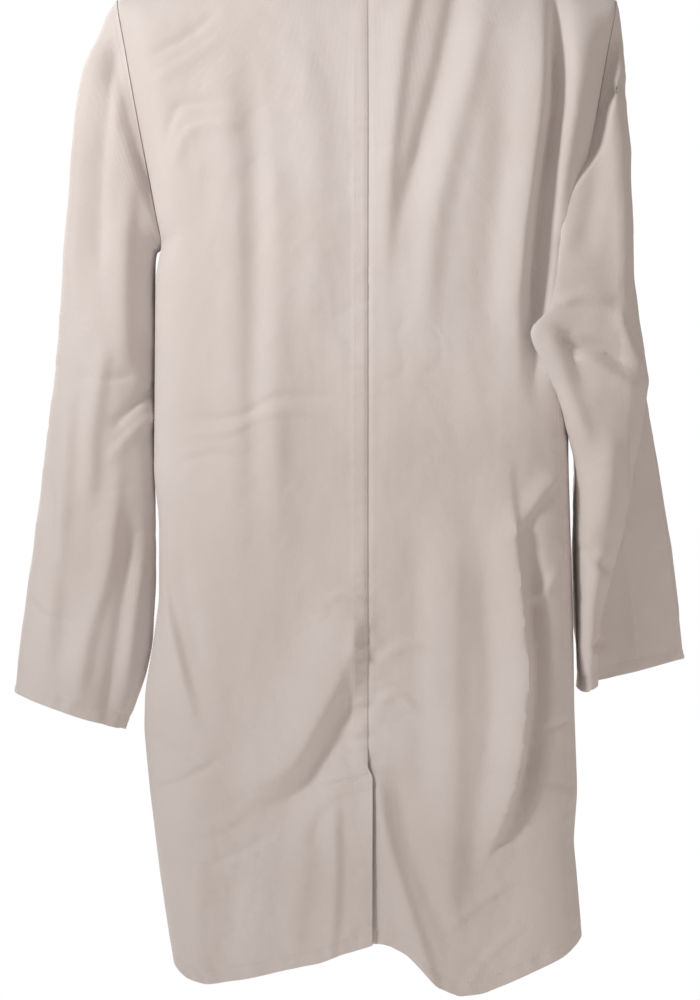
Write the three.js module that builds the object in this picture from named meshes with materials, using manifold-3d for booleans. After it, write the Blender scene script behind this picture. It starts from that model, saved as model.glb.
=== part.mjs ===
// A laboratory coat hanging empty, its press studs closed.
// Millimetres. +Z is up, -Y is the front of the coat, +X is the wearer's left.
// The origin is the middle of the neck, where a hanger bears.
import * as THREE from 'three';
import * as BufferGeometryUtils from 'three/addons/utils/BufferGeometryUtils.js';
import Module from 'manifold-3d';

const wasm = await Module();
wasm.setup();

// ---------------------------------------------------------------- sizes
const CLOTH = 1.6; // thickness of a panel
const TRIM = 1.0; // thickness of facings, labels and turned hems
const GAP = 0.6; // clear space between neighbouring pieces
const SEAM_GAP = GAP / 2 + CLOTH / 5; // half the clear space at the centre back seam

const HEM_DROP = 1078; // origin down to the hem
const NECK_HALF = 78; // half width of the neck opening
const NECK_BACK = 60; // how far the nape lies behind the origin
const NAPE_DROP = 6;
const SHOULDER_HALF = 255; // origin out to the armhole's highest point
const SHOULDER_DROP = 85;
const SEAM_FORWARD = 15; // the shoulder seam starts this far forward at the neck
const UNDERARM_HALF = 208;
const UNDERARM_DROP = 336;
const ARMHOLE_DEPTH = 50; // half the armhole's depth, front to back
const ARMHOLE_GAP = 1.8; // clear space between a sleeve's head and the body
const ARMHOLE_BACK = 10; // how far its middle lies behind the origin
const WAIST_HALF = 211;
const WAIST_DROP = 620;
const HIP_HALF = 221;
const HIP_DROP = 835;
const HEM_HALF = 205;

const BLADE_DROP = 190; // fullest height of the back
const BLADE_BACK = 90;
const WAIST_BACK = 88;
const HEM_BACK = 100;
const SHOULDER_ROUND = 110; // drop over which the back turns off the shoulder
const FRONT_ROUND = 40; // the same for the flatter front

const FRONT_TOP_DROP = 25; // where the flat front starts
const FRONT_TOP_FORWARD = 18;
const FRONT_HEM_FORWARD = 90;
const OVERLAP = 18; // each front passes the middle by this much
const HINGE_TOP = 120; // half width between the two lines the fronts fold on
const HINGE_HEM = 185;
const BREAK_DROP = 340; // lapels turn from here up
const FACING_WIDTH = 55;

const VENT_TOP_DROP = 866;
const VENT_HALF = 110; // at the hem, where the vent flaps fold
const VENT_LAP = 5; // the left flap passes the centre seam
const VENT_UNDERLAP = 28;
const VENT_STEP = 3 + CLOTH; // the underlap's free half hangs this far inside the overlap
const VENT_GAP = 1.6;

const STUD_COUNT = 5;
const STUD_FIRST = 30; // below the break of the lapels
const STUD_PITCH = 135;
const STUD_RADIUS = 6;
const POST_RADIUS = 1.9;
const POST_CLEARANCE = 0.5;
const STUD_SIDES = 10;
const SOCKET_HEIGHT = 1.9;
const KNOB_FLANGE = 0.8;
const SEAT = 0.3; // clear space between a stud's piece and what it seats on

// The left front lies outside the right one by its own cloth and the closed studs.
const CLOTH_STACK = CLOTH + SEAT + TRIM;
const LAP_STEP = CLOTH_STACK + SOCKET_HEIGHT + KNOB_FLANGE + 3 * SEAT;

const HIP_POCKET = { width: 124, height: 190, drop: 640, outer: 148 };
const CHEST_POCKET = { width: 94, height: 122, drop: 264, outer: 128 };
const POCKET_ROOM = 11; // inside depth of a pocket

const HEM_TURN = 15; // height of a turned hem
const COLLAR_RISE = 34;
const COLLAR_FALL = 30;
const COLLAR_FLARE = 25; // how far the leaf's edge stands off the neck
const COLLAR_REACH = 112; // outer edge of the collar on the front

const LOOP_SPAN = 56;
const LOOP_WIDTH = 7;
const LOOP_RISE = 16;

// Each sleeve hangs from its armhole through these levels. Its outer edge is given as how far it lies
// out from the shoulder and how far down from the underarm, its inner edge from the underarm in both,
// then the middle's place front to back and half the depth there.
const LEFT_SLEEVE = {
  headEnd: { outer: [51, -61], inner: [12, 18], middle: 8, depth: 50 },
  foldEnd: { outer: [59, 29], inner: [13, 89], middle: 5, depth: 50 },
  elbowTop: { outer: [67, 119], inner: [14, 134], middle: 2, depth: 48 },
  elbowEnd: { outer: [77, 219], inner: [14, 224], middle: 0, depth: 46 },
  forearm: { outer: [86, 324], inner: [15, 329], middle: -6, depth: 42 },
  wrist: { outer: [95, 409], inner: [20, 426], middle: -12, depth: 38 },
  cuff: { outer: [100, 461], inner: [43, 500], middle: -16, depth: 35 },
};
const RIGHT_SLEEVE = {
  headEnd: { outer: [25, -61], inner: [11, 18], middle: 8, depth: 56 },
  foldEnd: { outer: [29, 29], inner: [11, 89], middle: 6, depth: 58 },
  elbowTop: { outer: [35, 119], inner: [11, 134], middle: 4, depth: 58 },
  elbowEnd: { outer: [44, 219], inner: [11, 224], middle: 0, depth: 54 },
  forearm: { outer: [54, 314], inner: [11, 319], middle: -4, depth: 48 },
  wrist: { outer: [63, 394], inner: [12, 402], middle: -8, depth: 42 },
  cuff: { outer: [67, 428], inner: [13, 450], middle: -10, depth: 40 },
};
const SLEEVE_CROWN = 24; // how far the cap bulges beyond a straight line to the armhole
const SLEEVE_SIDES = 16;

// ---------------------------------------------------------------- helpers
const coat = new THREE.Group();

function paint(color, roughness = 0.9, metalness = 0) {
  return new THREE.MeshStandardMaterial({ color, roughness, metalness });
}

const CLOTH_WHITE = 0xddd0c8;
const TRIM_WHITE = 0xd5c9c2;
const LABEL_GREY = 0xb9b4ae;
const STUD_WHITE = 0xe8e4de;
const STUD_STEEL = 0xa8a9ab;

function place(name, geometry, color, parent = coat, metal = false) {
  const mesh = new THREE.Mesh(geometry, metal ? paint(color, 0.35, 1) : paint(color));
  mesh.name = name;
  parent.add(mesh);
  return mesh;
}

const { lerp } = THREE.MathUtils;

// Reads a profile of [drop, value] points at one drop.
function along(profile, drop) {
  if (drop <= profile[0][0]) return profile[0][1];
  for (let i = 1; i < profile.length; i += 1) {
    const [lowDrop, low] = profile[i - 1];
    const [highDrop, high] = profile[i];
    if (drop <= highDrop) return lerp(low, high, (drop - lowDrop) / (highDrop - lowDrop));
  }
  return profile[profile.length - 1][1];
}

// Closes a grid of outer points into a cloth solid. grid[row][column] holds the outer face,
// and outward(point) tells which way is out. A ring grid joins its last column to its first.
function shell(grid, thickness, outward, ring = false) {
  const rows = grid.length;
  const columns = grid[0].length;
  const column = (c) => (ring ? (c + columns) % columns : THREE.MathUtils.clamp(c, 0, columns - 1));
  const row = (r) => THREE.MathUtils.clamp(r, 0, rows - 1);
  const normals = grid.map((line, r) => line.map((point, c) => {
    const across = grid[r][column(c + 1)].clone().sub(grid[r][column(c - 1)]);
    const down = grid[row(r + 1)][c].clone().sub(grid[row(r - 1)][c]);
    return across.cross(down).normalize();
  }));
  const middle = Math.floor(rows / 2);
  const turned = normals[middle][1].dot(outward(grid[middle][1])) < 0;
  const positions = [];
  grid.forEach((line) => line.forEach((point) => positions.push(point.x, point.y, point.z)));
  grid.forEach((line, r) => line.forEach((point, c) => {
    const inner = point.clone().addScaledVector(normals[r][c], turned ? thickness : -thickness);
    positions.push(inner.x, inner.y, inner.z);
  }));
  const outer = (r, c) => r * columns + column(c);
  const inner = (r, c) => rows * columns + outer(r, c);
  const index = [];
  const quad = (a, b, c, d) => {
    if (turned) index.push(a, d, c, a, c, b);
    else index.push(a, b, c, a, c, d);
  };
  const lastColumn = ring ? columns : columns - 1;
  for (let r = 0; r < rows - 1; r += 1) {
    for (let c = 0; c < lastColumn; c += 1) {
      quad(outer(r, c), outer(r, c + 1), outer(r + 1, c + 1), outer(r + 1, c));
      quad(inner(r, c), inner(r + 1, c), inner(r + 1, c + 1), inner(r, c + 1));
    }
  }
  for (let c = 0; c < lastColumn; c += 1) {
    quad(outer(0, c), inner(0, c), inner(0, c + 1), outer(0, c + 1));
    quad(outer(rows - 1, c), outer(rows - 1, c + 1), inner(rows - 1, c + 1), inner(rows - 1, c));
  }
  for (let r = 0; r < rows - 1 && !ring; r += 1) {
    quad(outer(r, 0), outer(r + 1, 0), inner(r + 1, 0), inner(r, 0));
    quad(outer(r, columns - 1), inner(r, columns - 1), inner(r + 1, columns - 1), outer(r + 1, columns - 1));
  }
  const geometry = new THREE.BufferGeometry();
  geometry.setAttribute('position', new THREE.Float32BufferAttribute(positions, 3));
  geometry.setIndex(index);
  return geometry;
}

// A flat plate: points are [x, z], and the plate fills from front (-Y side) back by thickness.
function plate(points, front, thickness, holes = [], holeRadius = 0) {
  const shape = new THREE.Shape(points.map(([x, z]) => new THREE.Vector2(x, z)));
  holes.forEach(([x, z]) => {
    const hole = new THREE.Path();
    hole.absarc(x, z, holeRadius, 0, 2 * Math.PI, true);
    shape.holes.push(hole);
  });
  const options = { depth: thickness, bevelEnabled: false, curveSegments: STUD_SIDES };
  const geometry = new THREE.ExtrudeGeometry(shape, options);
  geometry.rotateX(Math.PI / 2);
  geometry.translate(0, front + thickness, 0);
  return geometry;
}

function toSolid(geometry) {
  const bare = geometry.clone();
  bare.deleteAttribute('normal');
  bare.deleteAttribute('uv');
  const merged = BufferGeometryUtils.mergeVertices(bare, 1e-4);
  const mesh = new wasm.Mesh({
    numProp: 3,
    vertProperties: new Float32Array(merged.attributes.position.array),
    triVerts: new Uint32Array(merged.index.array),
  });
  return new wasm.Manifold(mesh);
}

function toGeometry(solid) {
  const mesh = solid.getMesh();
  const geometry = new THREE.BufferGeometry();
  geometry.setAttribute('position', new THREE.BufferAttribute(mesh.vertProperties, 3));
  geometry.setIndex(new THREE.BufferAttribute(mesh.triVerts, 1));
  return geometry;
}

// ---------------------------------------------------------------- the coat's surface
const SIDE = [
  [SHOULDER_DROP, SHOULDER_HALF], [UNDERARM_DROP, UNDERARM_HALF], [WAIST_DROP, WAIST_HALF],
  [HIP_DROP, HIP_HALF], [HEM_DROP, HEM_HALF],
];
const BACK = [
  [NAPE_DROP, NECK_BACK + 4], [BLADE_DROP, BLADE_BACK], [WAIST_DROP, WAIST_BACK], [HEM_DROP, HEM_BACK],
];
const SEAM = [[UNDERARM_DROP, ARMHOLE_BACK], [WAIST_DROP, 0]];
const frontSlope = (FRONT_HEM_FORWARD - FRONT_TOP_FORWARD) / (HEM_DROP - FRONT_TOP_DROP);
const frontTilt = Math.atan(frontSlope);
const frontLength = Math.hypot(HEM_DROP - FRONT_TOP_DROP, FRONT_HEM_FORWARD - FRONT_TOP_FORWARD);
const hingeSlope = (HINGE_HEM - HINGE_TOP) / frontLength;

function armholeBulge(drop) {
  const middle = (SHOULDER_DROP + UNDERARM_DROP) / 2;
  const share = (drop - middle) / (UNDERARM_DROP - middle);
  return Math.abs(share) < 1 ? ARMHOLE_DEPTH * Math.sqrt(1 - share * share) : 0;
}

// Drop of the shoulder line, and of the back of the neck inside it, at a half width.
function topDrop(half) {
  if (half < NECK_HALF) return NAPE_DROP * (1 - half / NECK_HALF);
  return SHOULDER_DROP * (half - NECK_HALF) / (SHOULDER_HALF - NECK_HALF);
}

// Depth of that same line, front to back.
function topDepth(half) {
  if (half < NECK_HALF) {
    return (NECK_BACK + SEAM_FORWARD) * Math.sqrt(1 - (half / NECK_HALF) ** 2) - SEAM_FORWARD;
  }
  const share = THREE.MathUtils.clamp((half - HINGE_TOP) / (SHOULDER_HALF - HINGE_TOP), 0, 1);
  return lerp(-SEAM_FORWARD, ARMHOLE_BACK, share);
}

const rounded = (share, power) => (1 - Math.min(share, 1) ** power) ** (1 / power);
const domed = (drop, height) => Math.sqrt(1 - (1 - THREE.MathUtils.clamp(drop / height, 0, 1)) ** 2);

function backDepth(half, drop) {
  const side = along(SEAM, drop) + armholeBulge(drop);
  const dome = domed(drop - topDrop(half), SHOULDER_ROUND);
  const full = (along(BACK, drop) - side) * rounded(half / (along(SIDE, drop) - GAP), 4);
  return side + full * dome + (topDepth(half) - ARMHOLE_BACK) * (1 - dome);
}

const frontPlane = (drop, step) => -FRONT_TOP_FORWARD - step - (drop - FRONT_TOP_DROP) * frontSlope;
const hingeHalf = (drop) => HINGE_TOP + ((drop - FRONT_TOP_DROP) / Math.cos(frontTilt)) * hingeSlope;

function frontDepth(half, drop, step) {
  const side = along(SEAM, drop) - armholeBulge(drop);
  const hinge = hingeHalf(drop);
  const share = THREE.MathUtils.clamp((half - hinge) / (along(SIDE, drop) - GAP - hinge), 0, 1);
  const dome = domed(drop - topDrop(half), FRONT_ROUND);
  const full = (frontPlane(drop, step) - side) * rounded(share, 2.4);
  return side + full * dome + (topDepth(half) - ARMHOLE_BACK) * (1 - dome);
}

// Rows of a body panel, as shares of the way from its top edge to the hem. Down to the underarm they
// follow the corners of the sleeve's end, so the armhole's two edges match.
const underarmShare = (UNDERARM_DROP - SHOULDER_DROP) / (HEM_DROP - SHOULDER_DROP);
const armholeRows = Array.from({ length: SLEEVE_SIDES / 2 + 1 }, (_, i) => (
  underarmShare * (1 - Math.cos((2 * Math.PI * i) / SLEEVE_SIDES)) / 2
));
const PANEL_ROWS = [...armholeRows, 0.36, 0.5, 0.65];
const hipShare = (VENT_TOP_DROP - NAPE_DROP) / (HEM_DROP - NAPE_DROP);
const BACK_ROWS = [...PANEL_ROWS, hipShare, (1 + hipShare) / 2, 1];
const FRONT_ROWS = [...PANEL_ROWS, 0.82, 1];

function ventHalf(drop) {
  return Math.max(0, VENT_HALF * (drop - VENT_TOP_DROP) / (HEM_DROP - VENT_TOP_DROP));
}

// ---------------------------------------------------------------- back
const BACK_COLUMNS = [0, 0.14, 0.3, 0.46, 0.62, 0.76, 0.88, 0.96, 0.99, 1];

function backPanel(side) {
  const grid = BACK_ROWS.map((share) => BACK_COLUMNS.map((u) => {
    const top = topDrop(lerp(SEAM_GAP, SHOULDER_HALF - GAP, u));
    const drop = lerp(top, HEM_DROP, share);
    const inner = SEAM_GAP + (drop > VENT_TOP_DROP ? ventHalf(drop) + VENT_GAP : 0);
    const half = lerp(inner, along(SIDE, drop) - GAP, u);
    return new THREE.Vector3(side * half, backDepth(half, drop), -drop);
  }));
  return shell(grid, CLOTH, () => new THREE.Vector3(0, 1, 0));
}

// A flap of the vent, from its folding line to its free edge, laid step inside the back.
function ventFlap(side, reach, step) {
  const drops = [0.12, 0.4, 0.7, 1].map((share) => lerp(VENT_TOP_DROP, HEM_DROP, share));
  const grid = drops.map((drop) => [1, 0.66, 0.33, 0].map((share) => {
    const fold = ventHalf(drop) - VENT_GAP;
    const across = lerp(-Math.min(reach, ventHalf(drop) * 0.6), fold, share);
    const depth = backDepth(Math.abs(fold), drop) - 0.4 - step * Math.min(1, 2 * (1 - share));
    return new THREE.Vector3(side * across, depth, -drop);
  }));
  return shell(grid, CLOTH, () => new THREE.Vector3(0, 1, 0));
}

function backHem(side) {
  const drops = [HEM_DROP - HEM_TURN, HEM_DROP];
  const grid = drops.map((drop) => BACK_COLUMNS.slice(0, -4).map((u) => {
    const half = lerp(SEAM_GAP + ventHalf(drop) + VENT_GAP, along(SIDE, drop) - GAP, u);
    return new THREE.Vector3(side * half, backDepth(half, drop) - CLOTH - 2 * GAP, -drop);
  }));
  return shell(grid, TRIM, () => new THREE.Vector3(0, 1, 0));
}

for (const [word, side] of [['left', 1], ['right', -1]]) {
  place(`back_${word}`, backPanel(side), CLOTH_WHITE);
  place(`back_hem_${word}`, backHem(side), TRIM_WHITE);
}
place('vent_overlap', ventFlap(1, VENT_LAP, 0), CLOTH_WHITE);
place('vent_underlap', ventFlap(-1, VENT_UNDERLAP, VENT_STEP), CLOTH_WHITE);

// ---------------------------------------------------------------- front, outside the fold lines
function frontSide(side, step) {
  const columns = [0, 0.2, 0.42, 0.64, 0.82, 0.94, 0.985, 1];
  const grid = FRONT_ROWS.map((share) => columns.map((v) => {
    let top = SHOULDER_DROP;
    for (let pass = 0; pass < 3; pass += 1) top = topDrop(lerp(hingeHalf(top), SHOULDER_HALF, v));
    const drop = lerp(top + GAP, HEM_DROP, share);
    const half = lerp(hingeHalf(drop) + GAP, along(SIDE, drop) - GAP, v);
    const nearShoulder = Math.max(0, 1 - (drop - top) / FRONT_ROUND);
    const clear = (GAP + CLOTH / 2) * Math.max(v, nearShoulder);
    return new THREE.Vector3(side * half, frontDepth(half, drop, step) - clear, -drop);
  }));
  return shell(grid, CLOTH, () => new THREE.Vector3(0, -1, 0));
}
place('front_side_left', frontSide(1, LAP_STEP), CLOTH_WHITE);
place('front_side_right', frontSide(-1, 0), CLOTH_WHITE);

// ---------------------------------------------------------------- front panels, flat in a tilted frame
const front = new THREE.Group();
front.position.set(0, -FRONT_TOP_FORWARD, -FRONT_TOP_DROP);
front.rotation.x = -frontTilt;
coat.add(front);

// In this frame z is measured from FRONT_TOP_DROP down the cloth, and y = 0 is the right front's face.
const neckTop = FRONT_TOP_DROP - topDrop(NECK_HALF) - 3;
const hingeTopZ = FRONT_TOP_DROP - topDrop(HINGE_TOP) - 3;
const breakZ = FRONT_TOP_DROP - BREAK_DROP;
const studPlaces = Array.from({ length: STUD_COUNT }, (_, i) => [0, breakZ - STUD_FIRST - i * STUD_PITCH]);
const hingeAt = (z) => HINGE_TOP - z * hingeSlope;
const rollAt = (z) => lerp(-OVERLAP, NECK_HALF, (z - breakZ) / (neckTop - breakZ));

function mirrored(points, side) {
  const turned = points.map(([x, z]) => [side * x, z]);
  return side < 0 ? turned.reverse() : turned;
}

function frontPanel(side) {
  const points = [
    [NECK_HALF + 1, neckTop], [-OVERLAP, breakZ], [-OVERLAP, -frontLength],
    [hingeAt(-frontLength) - GAP, -frontLength], [hingeAt(hingeTopZ) - GAP, hingeTopZ],
  ];
  return mirrored(points, side);
}

function facing(side) {
  const inner = FACING_WIDTH - OVERLAP;
  const points = [
    [rollAt(neckTop - 40) + 3, neckTop - 40], [-OVERLAP + 1, breakZ], [-OVERLAP + 1, 4 - frontLength],
    [inner, 4 - frontLength], [inner, breakZ + 20], [rollAt(neckTop - 40) + 26, neckTop - 40],
  ];
  return mirrored(points, side);
}

// Where the collar meets the lapel.
const gorgeInner = [rollAt(-20) - 2, -20];
const gorgeOuter = [gorgeInner[0] + 22, -72];
const LAPEL_TIP = [COLLAR_REACH, -96];

function lapel(side) {
  const points = [
    [gorgeInner[0], gorgeInner[1] - GAP], [-OVERLAP + 2, breakZ + 3], LAPEL_TIP,
    [gorgeOuter[0], gorgeOuter[1] - GAP],
  ];
  return mirrored(points, side);
}

function collarFront(side) {
  const points = [
    [NECK_HALF + 2, neckTop - 2], gorgeInner, gorgeOuter,
    [COLLAR_REACH - 4, -62], [COLLAR_REACH, hingeTopZ - 2],
  ];
  return mirrored(points, side);
}

// A patch pocket: a tray with its mouth up and its open side to the coat.
function pocket({ width, height, drop, outer }, side, step) {
  const wall = CLOTH;
  const depth = POCKET_ROOM + wall;
  const top = FRONT_TOP_DROP - drop;
  const middle = side * (outer - width / 2);
  const face = -step - GAP;
  const block = new THREE.BoxGeometry(width, depth, height);
  block.translate(middle, face - depth / 2, top - height / 2);
  const hollow = new THREE.BoxGeometry(width - 2 * wall, depth, height);
  hollow.translate(middle, face - depth / 2 + wall, top - height / 2 + wall);
  return toGeometry(toSolid(block).subtract(toSolid(hollow)));
}

// A round piece turned about Y: profile points are [radius, y].
function turned(profile, x, z) {
  const points = profile.map(([radius, y]) => new THREE.Vector2(radius, y));
  const geometry = new THREE.LatheGeometry(points, STUD_SIDES);
  geometry.translate(x, 0, z);
  return geometry;
}

const holeRadius = POST_RADIUS + POST_CLEARANCE;
for (const [word, side, step] of [['left', 1, LAP_STEP], ['right', -1, 0]]) {
  place(`front_${word}`, plate(frontPanel(side), -step, CLOTH, studPlaces, holeRadius), CLOTH_WHITE, front);
  const facingFront = -step + CLOTH + SEAT;
  place(`facing_${word}`, plate(facing(side), facingFront, TRIM, studPlaces, holeRadius), TRIM_WHITE, front);
  const leaf = -step - GAP - CLOTH;
  place(`lapel_${word}`, plate(lapel(side), leaf, CLOTH), CLOTH_WHITE, front);
  place(`collar_front_${word}`, plate(collarFront(side), leaf, CLOTH), CLOTH_WHITE, front);
  place(`hip_pocket_${word}`, pocket(HIP_POCKET, side, step), CLOTH_WHITE, front);
}
place('chest_pocket', pocket(CHEST_POCKET, 1, LAP_STEP), CLOTH_WHITE, front);

// ---------------------------------------------------------------- press studs
const leftInside = -LAP_STEP + CLOTH_STACK;
studPlaces.forEach(([x, z], i) => {
  const number = i + 1;
  const capFace = -LAP_STEP - SEAT;
  const cap = [
    [0, capFace - 1.8], [3.6, capFace - 1.5], [STUD_RADIUS, capFace - 0.6], [STUD_RADIUS, capFace],
    [POST_RADIUS, capFace], [POST_RADIUS, leftInside], [0, leftInside],
  ];
  place(`stud_cap_${number}`, turned(cap, x, z), STUD_WHITE, front, true);
  const socketFace = leftInside + SEAT;
  const socket = [
    [0, socketFace], [STUD_RADIUS, socketFace], [STUD_RADIUS, socketFace + SOCKET_HEIGHT],
    [3.3, socketFace + SOCKET_HEIGHT], [3.3, socketFace + 0.7], [0, socketFace + 0.7],
  ];
  place(`stud_socket_${number}`, turned(socket, x, z), STUD_STEEL, front, true);
  const knob = [
    [0, socketFace + 1.0], [2.3, socketFace + 1.0], [2.6, socketFace + 1.5], [2.3, -SEAT - KNOB_FLANGE],
    [STUD_RADIUS, -SEAT - KNOB_FLANGE], [STUD_RADIUS, -SEAT], [0, -SEAT],
  ];
  place(`stud_knob_${number}`, turned(knob, x, z), STUD_STEEL, front, true);
  const backFace = CLOTH_STACK + SEAT;
  const post = [
    [0, 0.2], [POST_RADIUS, 0.2], [POST_RADIUS, backFace], [STUD_RADIUS - 0.5, backFace],
    [STUD_RADIUS - 0.5, backFace + 0.7], [0, backFace + 1.1],
  ];
  place(`stud_post_${number}`, turned(post, x, z), STUD_STEEL, front, true);
});

// ---------------------------------------------------------------- collar, neck facing, loop and labels
// A point round the back of the neck: angle 0 is the left shoulder, 180 the right.
function neckPoint(angle, grow, drop) {
  const half = NECK_HALF * Math.cos(angle);
  const depth = (NECK_BACK + SEAM_FORWARD) * Math.sin(angle) - SEAM_FORWARD;
  return new THREE.Vector3(half + grow * Math.cos(angle), depth + grow * Math.sin(angle), -drop);
}

function neckBand(levels, thickness, margin) {
  const angles = Array.from({ length: 13 }, (_, i) => lerp(margin, Math.PI - margin, i / 12));
  const grid = levels.map(({ grow, drop, fall = 0 }) => angles.map((angle) => (
    neckPoint(angle, grow, drop + fall * Math.sin(angle))
  )));
  return shell(grid, thickness, (p) => new THREE.Vector3(p.x, p.y + SEAM_FORWARD, 0));
}

const stand = [{ grow: -1, drop: -COLLAR_RISE + 2 }, { grow: -2, drop: -14 }, { grow: -3, drop: -NAPE_DROP }];
place('collar_stand', neckBand(stand, CLOTH, 0.12), TRIM_WHITE);
const leafLevels = [
  { grow: 3, drop: -COLLAR_RISE }, { grow: COLLAR_FLARE * 0.55, drop: -14, fall: 6 },
  { grow: COLLAR_FLARE, drop: 4 - NAPE_DROP * 2, fall: COLLAR_FALL - 4 },
];
place('collar_back', neckBand(leafLevels, CLOTH, 0.06), CLOTH_WHITE);

const NECK_FACING_HALF = 44;
const NECK_FACING_DEPTH = 66;
const FACING_ROOM = 6; // the facing hangs this far inside the back
function neckFacing() {
  const shares = [-1, -0.66, -0.33, 0, 0.33, 0.66, 1];
  const grid = [14, 30, 50, NECK_FACING_DEPTH].map((drop) => shares.map((share) => {
    const half = Math.abs(share) * NECK_FACING_HALF;
    const depth = backDepth(half, drop + topDrop(half)) - CLOTH - FACING_ROOM;
    return new THREE.Vector3(share * NECK_FACING_HALF, depth, -drop - topDrop(half));
  }));
  return shell(grid, TRIM, () => new THREE.Vector3(0, 1, 0));
}
place('back_neck_facing', neckFacing(), TRIM_WHITE);

function loop() {
  const half = LOOP_SPAN / 2;
  const at = (x, drop, inset) => new THREE.Vector3(x, topDepth(Math.abs(x)) - inset, -drop);
  const path = new THREE.CatmullRomCurve3([
    at(-half, NAPE_DROP + 6, 12), at(-half * 0.8, -LOOP_RISE * 0.5, 15), at(0, -LOOP_RISE, 17),
    at(half * 0.8, -LOOP_RISE * 0.5, 15), at(half, NAPE_DROP + 6, 12),
  ]);
  const band = new THREE.Shape();
  band.moveTo(-LOOP_WIDTH / 2, -TRIM / 2);
  band.lineTo(LOOP_WIDTH / 2, -TRIM / 2);
  band.lineTo(LOOP_WIDTH / 2, TRIM / 2);
  band.lineTo(-LOOP_WIDTH / 2, TRIM / 2);
  return new THREE.ExtrudeGeometry(band, { steps: 14, extrudePath: path, bevelEnabled: false });
}
place('hanger_loop', loop(), TRIM_WHITE);

const neckLabel = new THREE.BoxGeometry(46, TRIM, 26);
neckLabel.translate(0, backDepth(0, 52) - CLOTH - TRIM - 12, -52);
place('neck_label', neckLabel, LABEL_GREY);
const careLabel = new THREE.BoxGeometry(TRIM, 30, 46);
careLabel.translate(WAIST_HALF - 12, 8, -(WAIST_DROP + 60));
place('care_label', careLabel, LABEL_GREY);

// ---------------------------------------------------------------- sleeves
// Every level of a sleeve is an ellipse between its outer and inner edge points.
function levelPoints({ outer, inner, middle, depth }, side) {
  return Array.from({ length: SLEEVE_SIDES }, (_, i) => {
    const angle = (i / SLEEVE_SIDES) * 2 * Math.PI;
    const share = (1 + Math.cos(angle)) / 2;
    const x = lerp(inner[0], outer[0], share);
    const drop = lerp(inner[1], outer[1], share);
    return new THREE.Vector3(side * x, middle + depth * Math.sin(angle), -drop);
  });
}

function between(upper, lower, share) {
  const mix = (a, b) => lerp(a, b, share);
  return {
    outer: [mix(upper.outer[0], lower.outer[0]), mix(upper.outer[1], lower.outer[1])],
    inner: [mix(upper.inner[0], lower.inner[0]), mix(upper.inner[1], lower.inner[1])],
    middle: mix(upper.middle, lower.middle),
    depth: mix(upper.depth, lower.depth),
  };
}

// Moves a level's two edges down by a small clearance.
function lowered(level, amount) {
  const { outer, inner } = level;
  return { ...level, outer: [outer[0], outer[1] + amount], inner: [inner[0], inner[1] + amount] };
}

function tube(levels, side, thickness = CLOTH) {
  const grid = levels.map((level) => levelPoints(level, side));
  const centre = (p) => {
    const ring = grid[Math.floor(levels.length / 2)];
    const sum = ring.reduce((total, q) => total.add(q), new THREE.Vector3());
    return p.clone().sub(sum.divideScalar(ring.length));
  };
  return shell(grid, thickness, centre, true);
}

function sleeve(word, side, offsets) {
  const levels = {};
  for (const [name, { outer, inner, middle, depth }] of Object.entries(offsets)) {
    const outerEdge = [SHOULDER_HALF + outer[0], UNDERARM_DROP + outer[1]];
    const innerEdge = [UNDERARM_HALF + inner[0], UNDERARM_DROP + inner[1]];
    levels[name] = { outer: outerEdge, inner: innerEdge, middle, depth };
  }
  const armhole = {
    outer: [SHOULDER_HALF + ARMHOLE_GAP, SHOULDER_DROP],
    inner: [UNDERARM_HALF + ARMHOLE_GAP, UNDERARM_DROP + 1],
    middle: ARMHOLE_BACK, depth: ARMHOLE_DEPTH,
  };
  const cap = (share) => {
    const level = between(armhole, levels.headEnd, share);
    level.outer[0] += SLEEVE_CROWN * 4 * share * (1 - share) * (side > 0 ? 1 : 0.8);
    return level;
  };
  const spans = {
    head: [armhole, cap(0.25), cap(0.5), cap(0.75), levels.headEnd],
    fold: [levels.headEnd, between(levels.headEnd, levels.foldEnd, 0.5), levels.foldEnd],
    upper: [levels.foldEnd, levels.elbowTop],
    elbow: [levels.elbowTop, between(levels.elbowTop, levels.elbowEnd, 0.5), levels.elbowEnd],
    lower: [levels.elbowEnd, levels.forearm, levels.wrist, levels.cuff],
  };
  for (const [part, span] of Object.entries(spans)) {
    const open = part === 'head' ? span : [lowered(span[0], GAP), ...span.slice(1)];
    place(`sleeve_${word}_${part}`, tube(open, side), CLOTH_WHITE);
  }
  const turnedIn = ({ outer, inner, middle, depth }) => {
    const inset = CLOTH + 2 * GAP;
    const outerEdge = [outer[0] - inset, outer[1]];
    return { outer: outerEdge, inner: [inner[0] + inset, inner[1]], middle, depth: depth - inset };
  };
  const hemShare = HEM_TURN / (levels.cuff.outer[1] - levels.wrist.outer[1]);
  const hem = [turnedIn(between(levels.cuff, levels.wrist, hemShare)), turnedIn(levels.cuff)];
  place(`cuff_hem_${word}`, tube(hem, side, TRIM), TRIM_WHITE);
}
sleeve('left', 1, LEFT_SLEEVE);
sleeve('right', -1, RIGHT_SLEEVE);

export default coat;
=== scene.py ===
"""Cloth, trims, studs and stage of a laboratory coat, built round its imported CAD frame."""
import math

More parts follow.
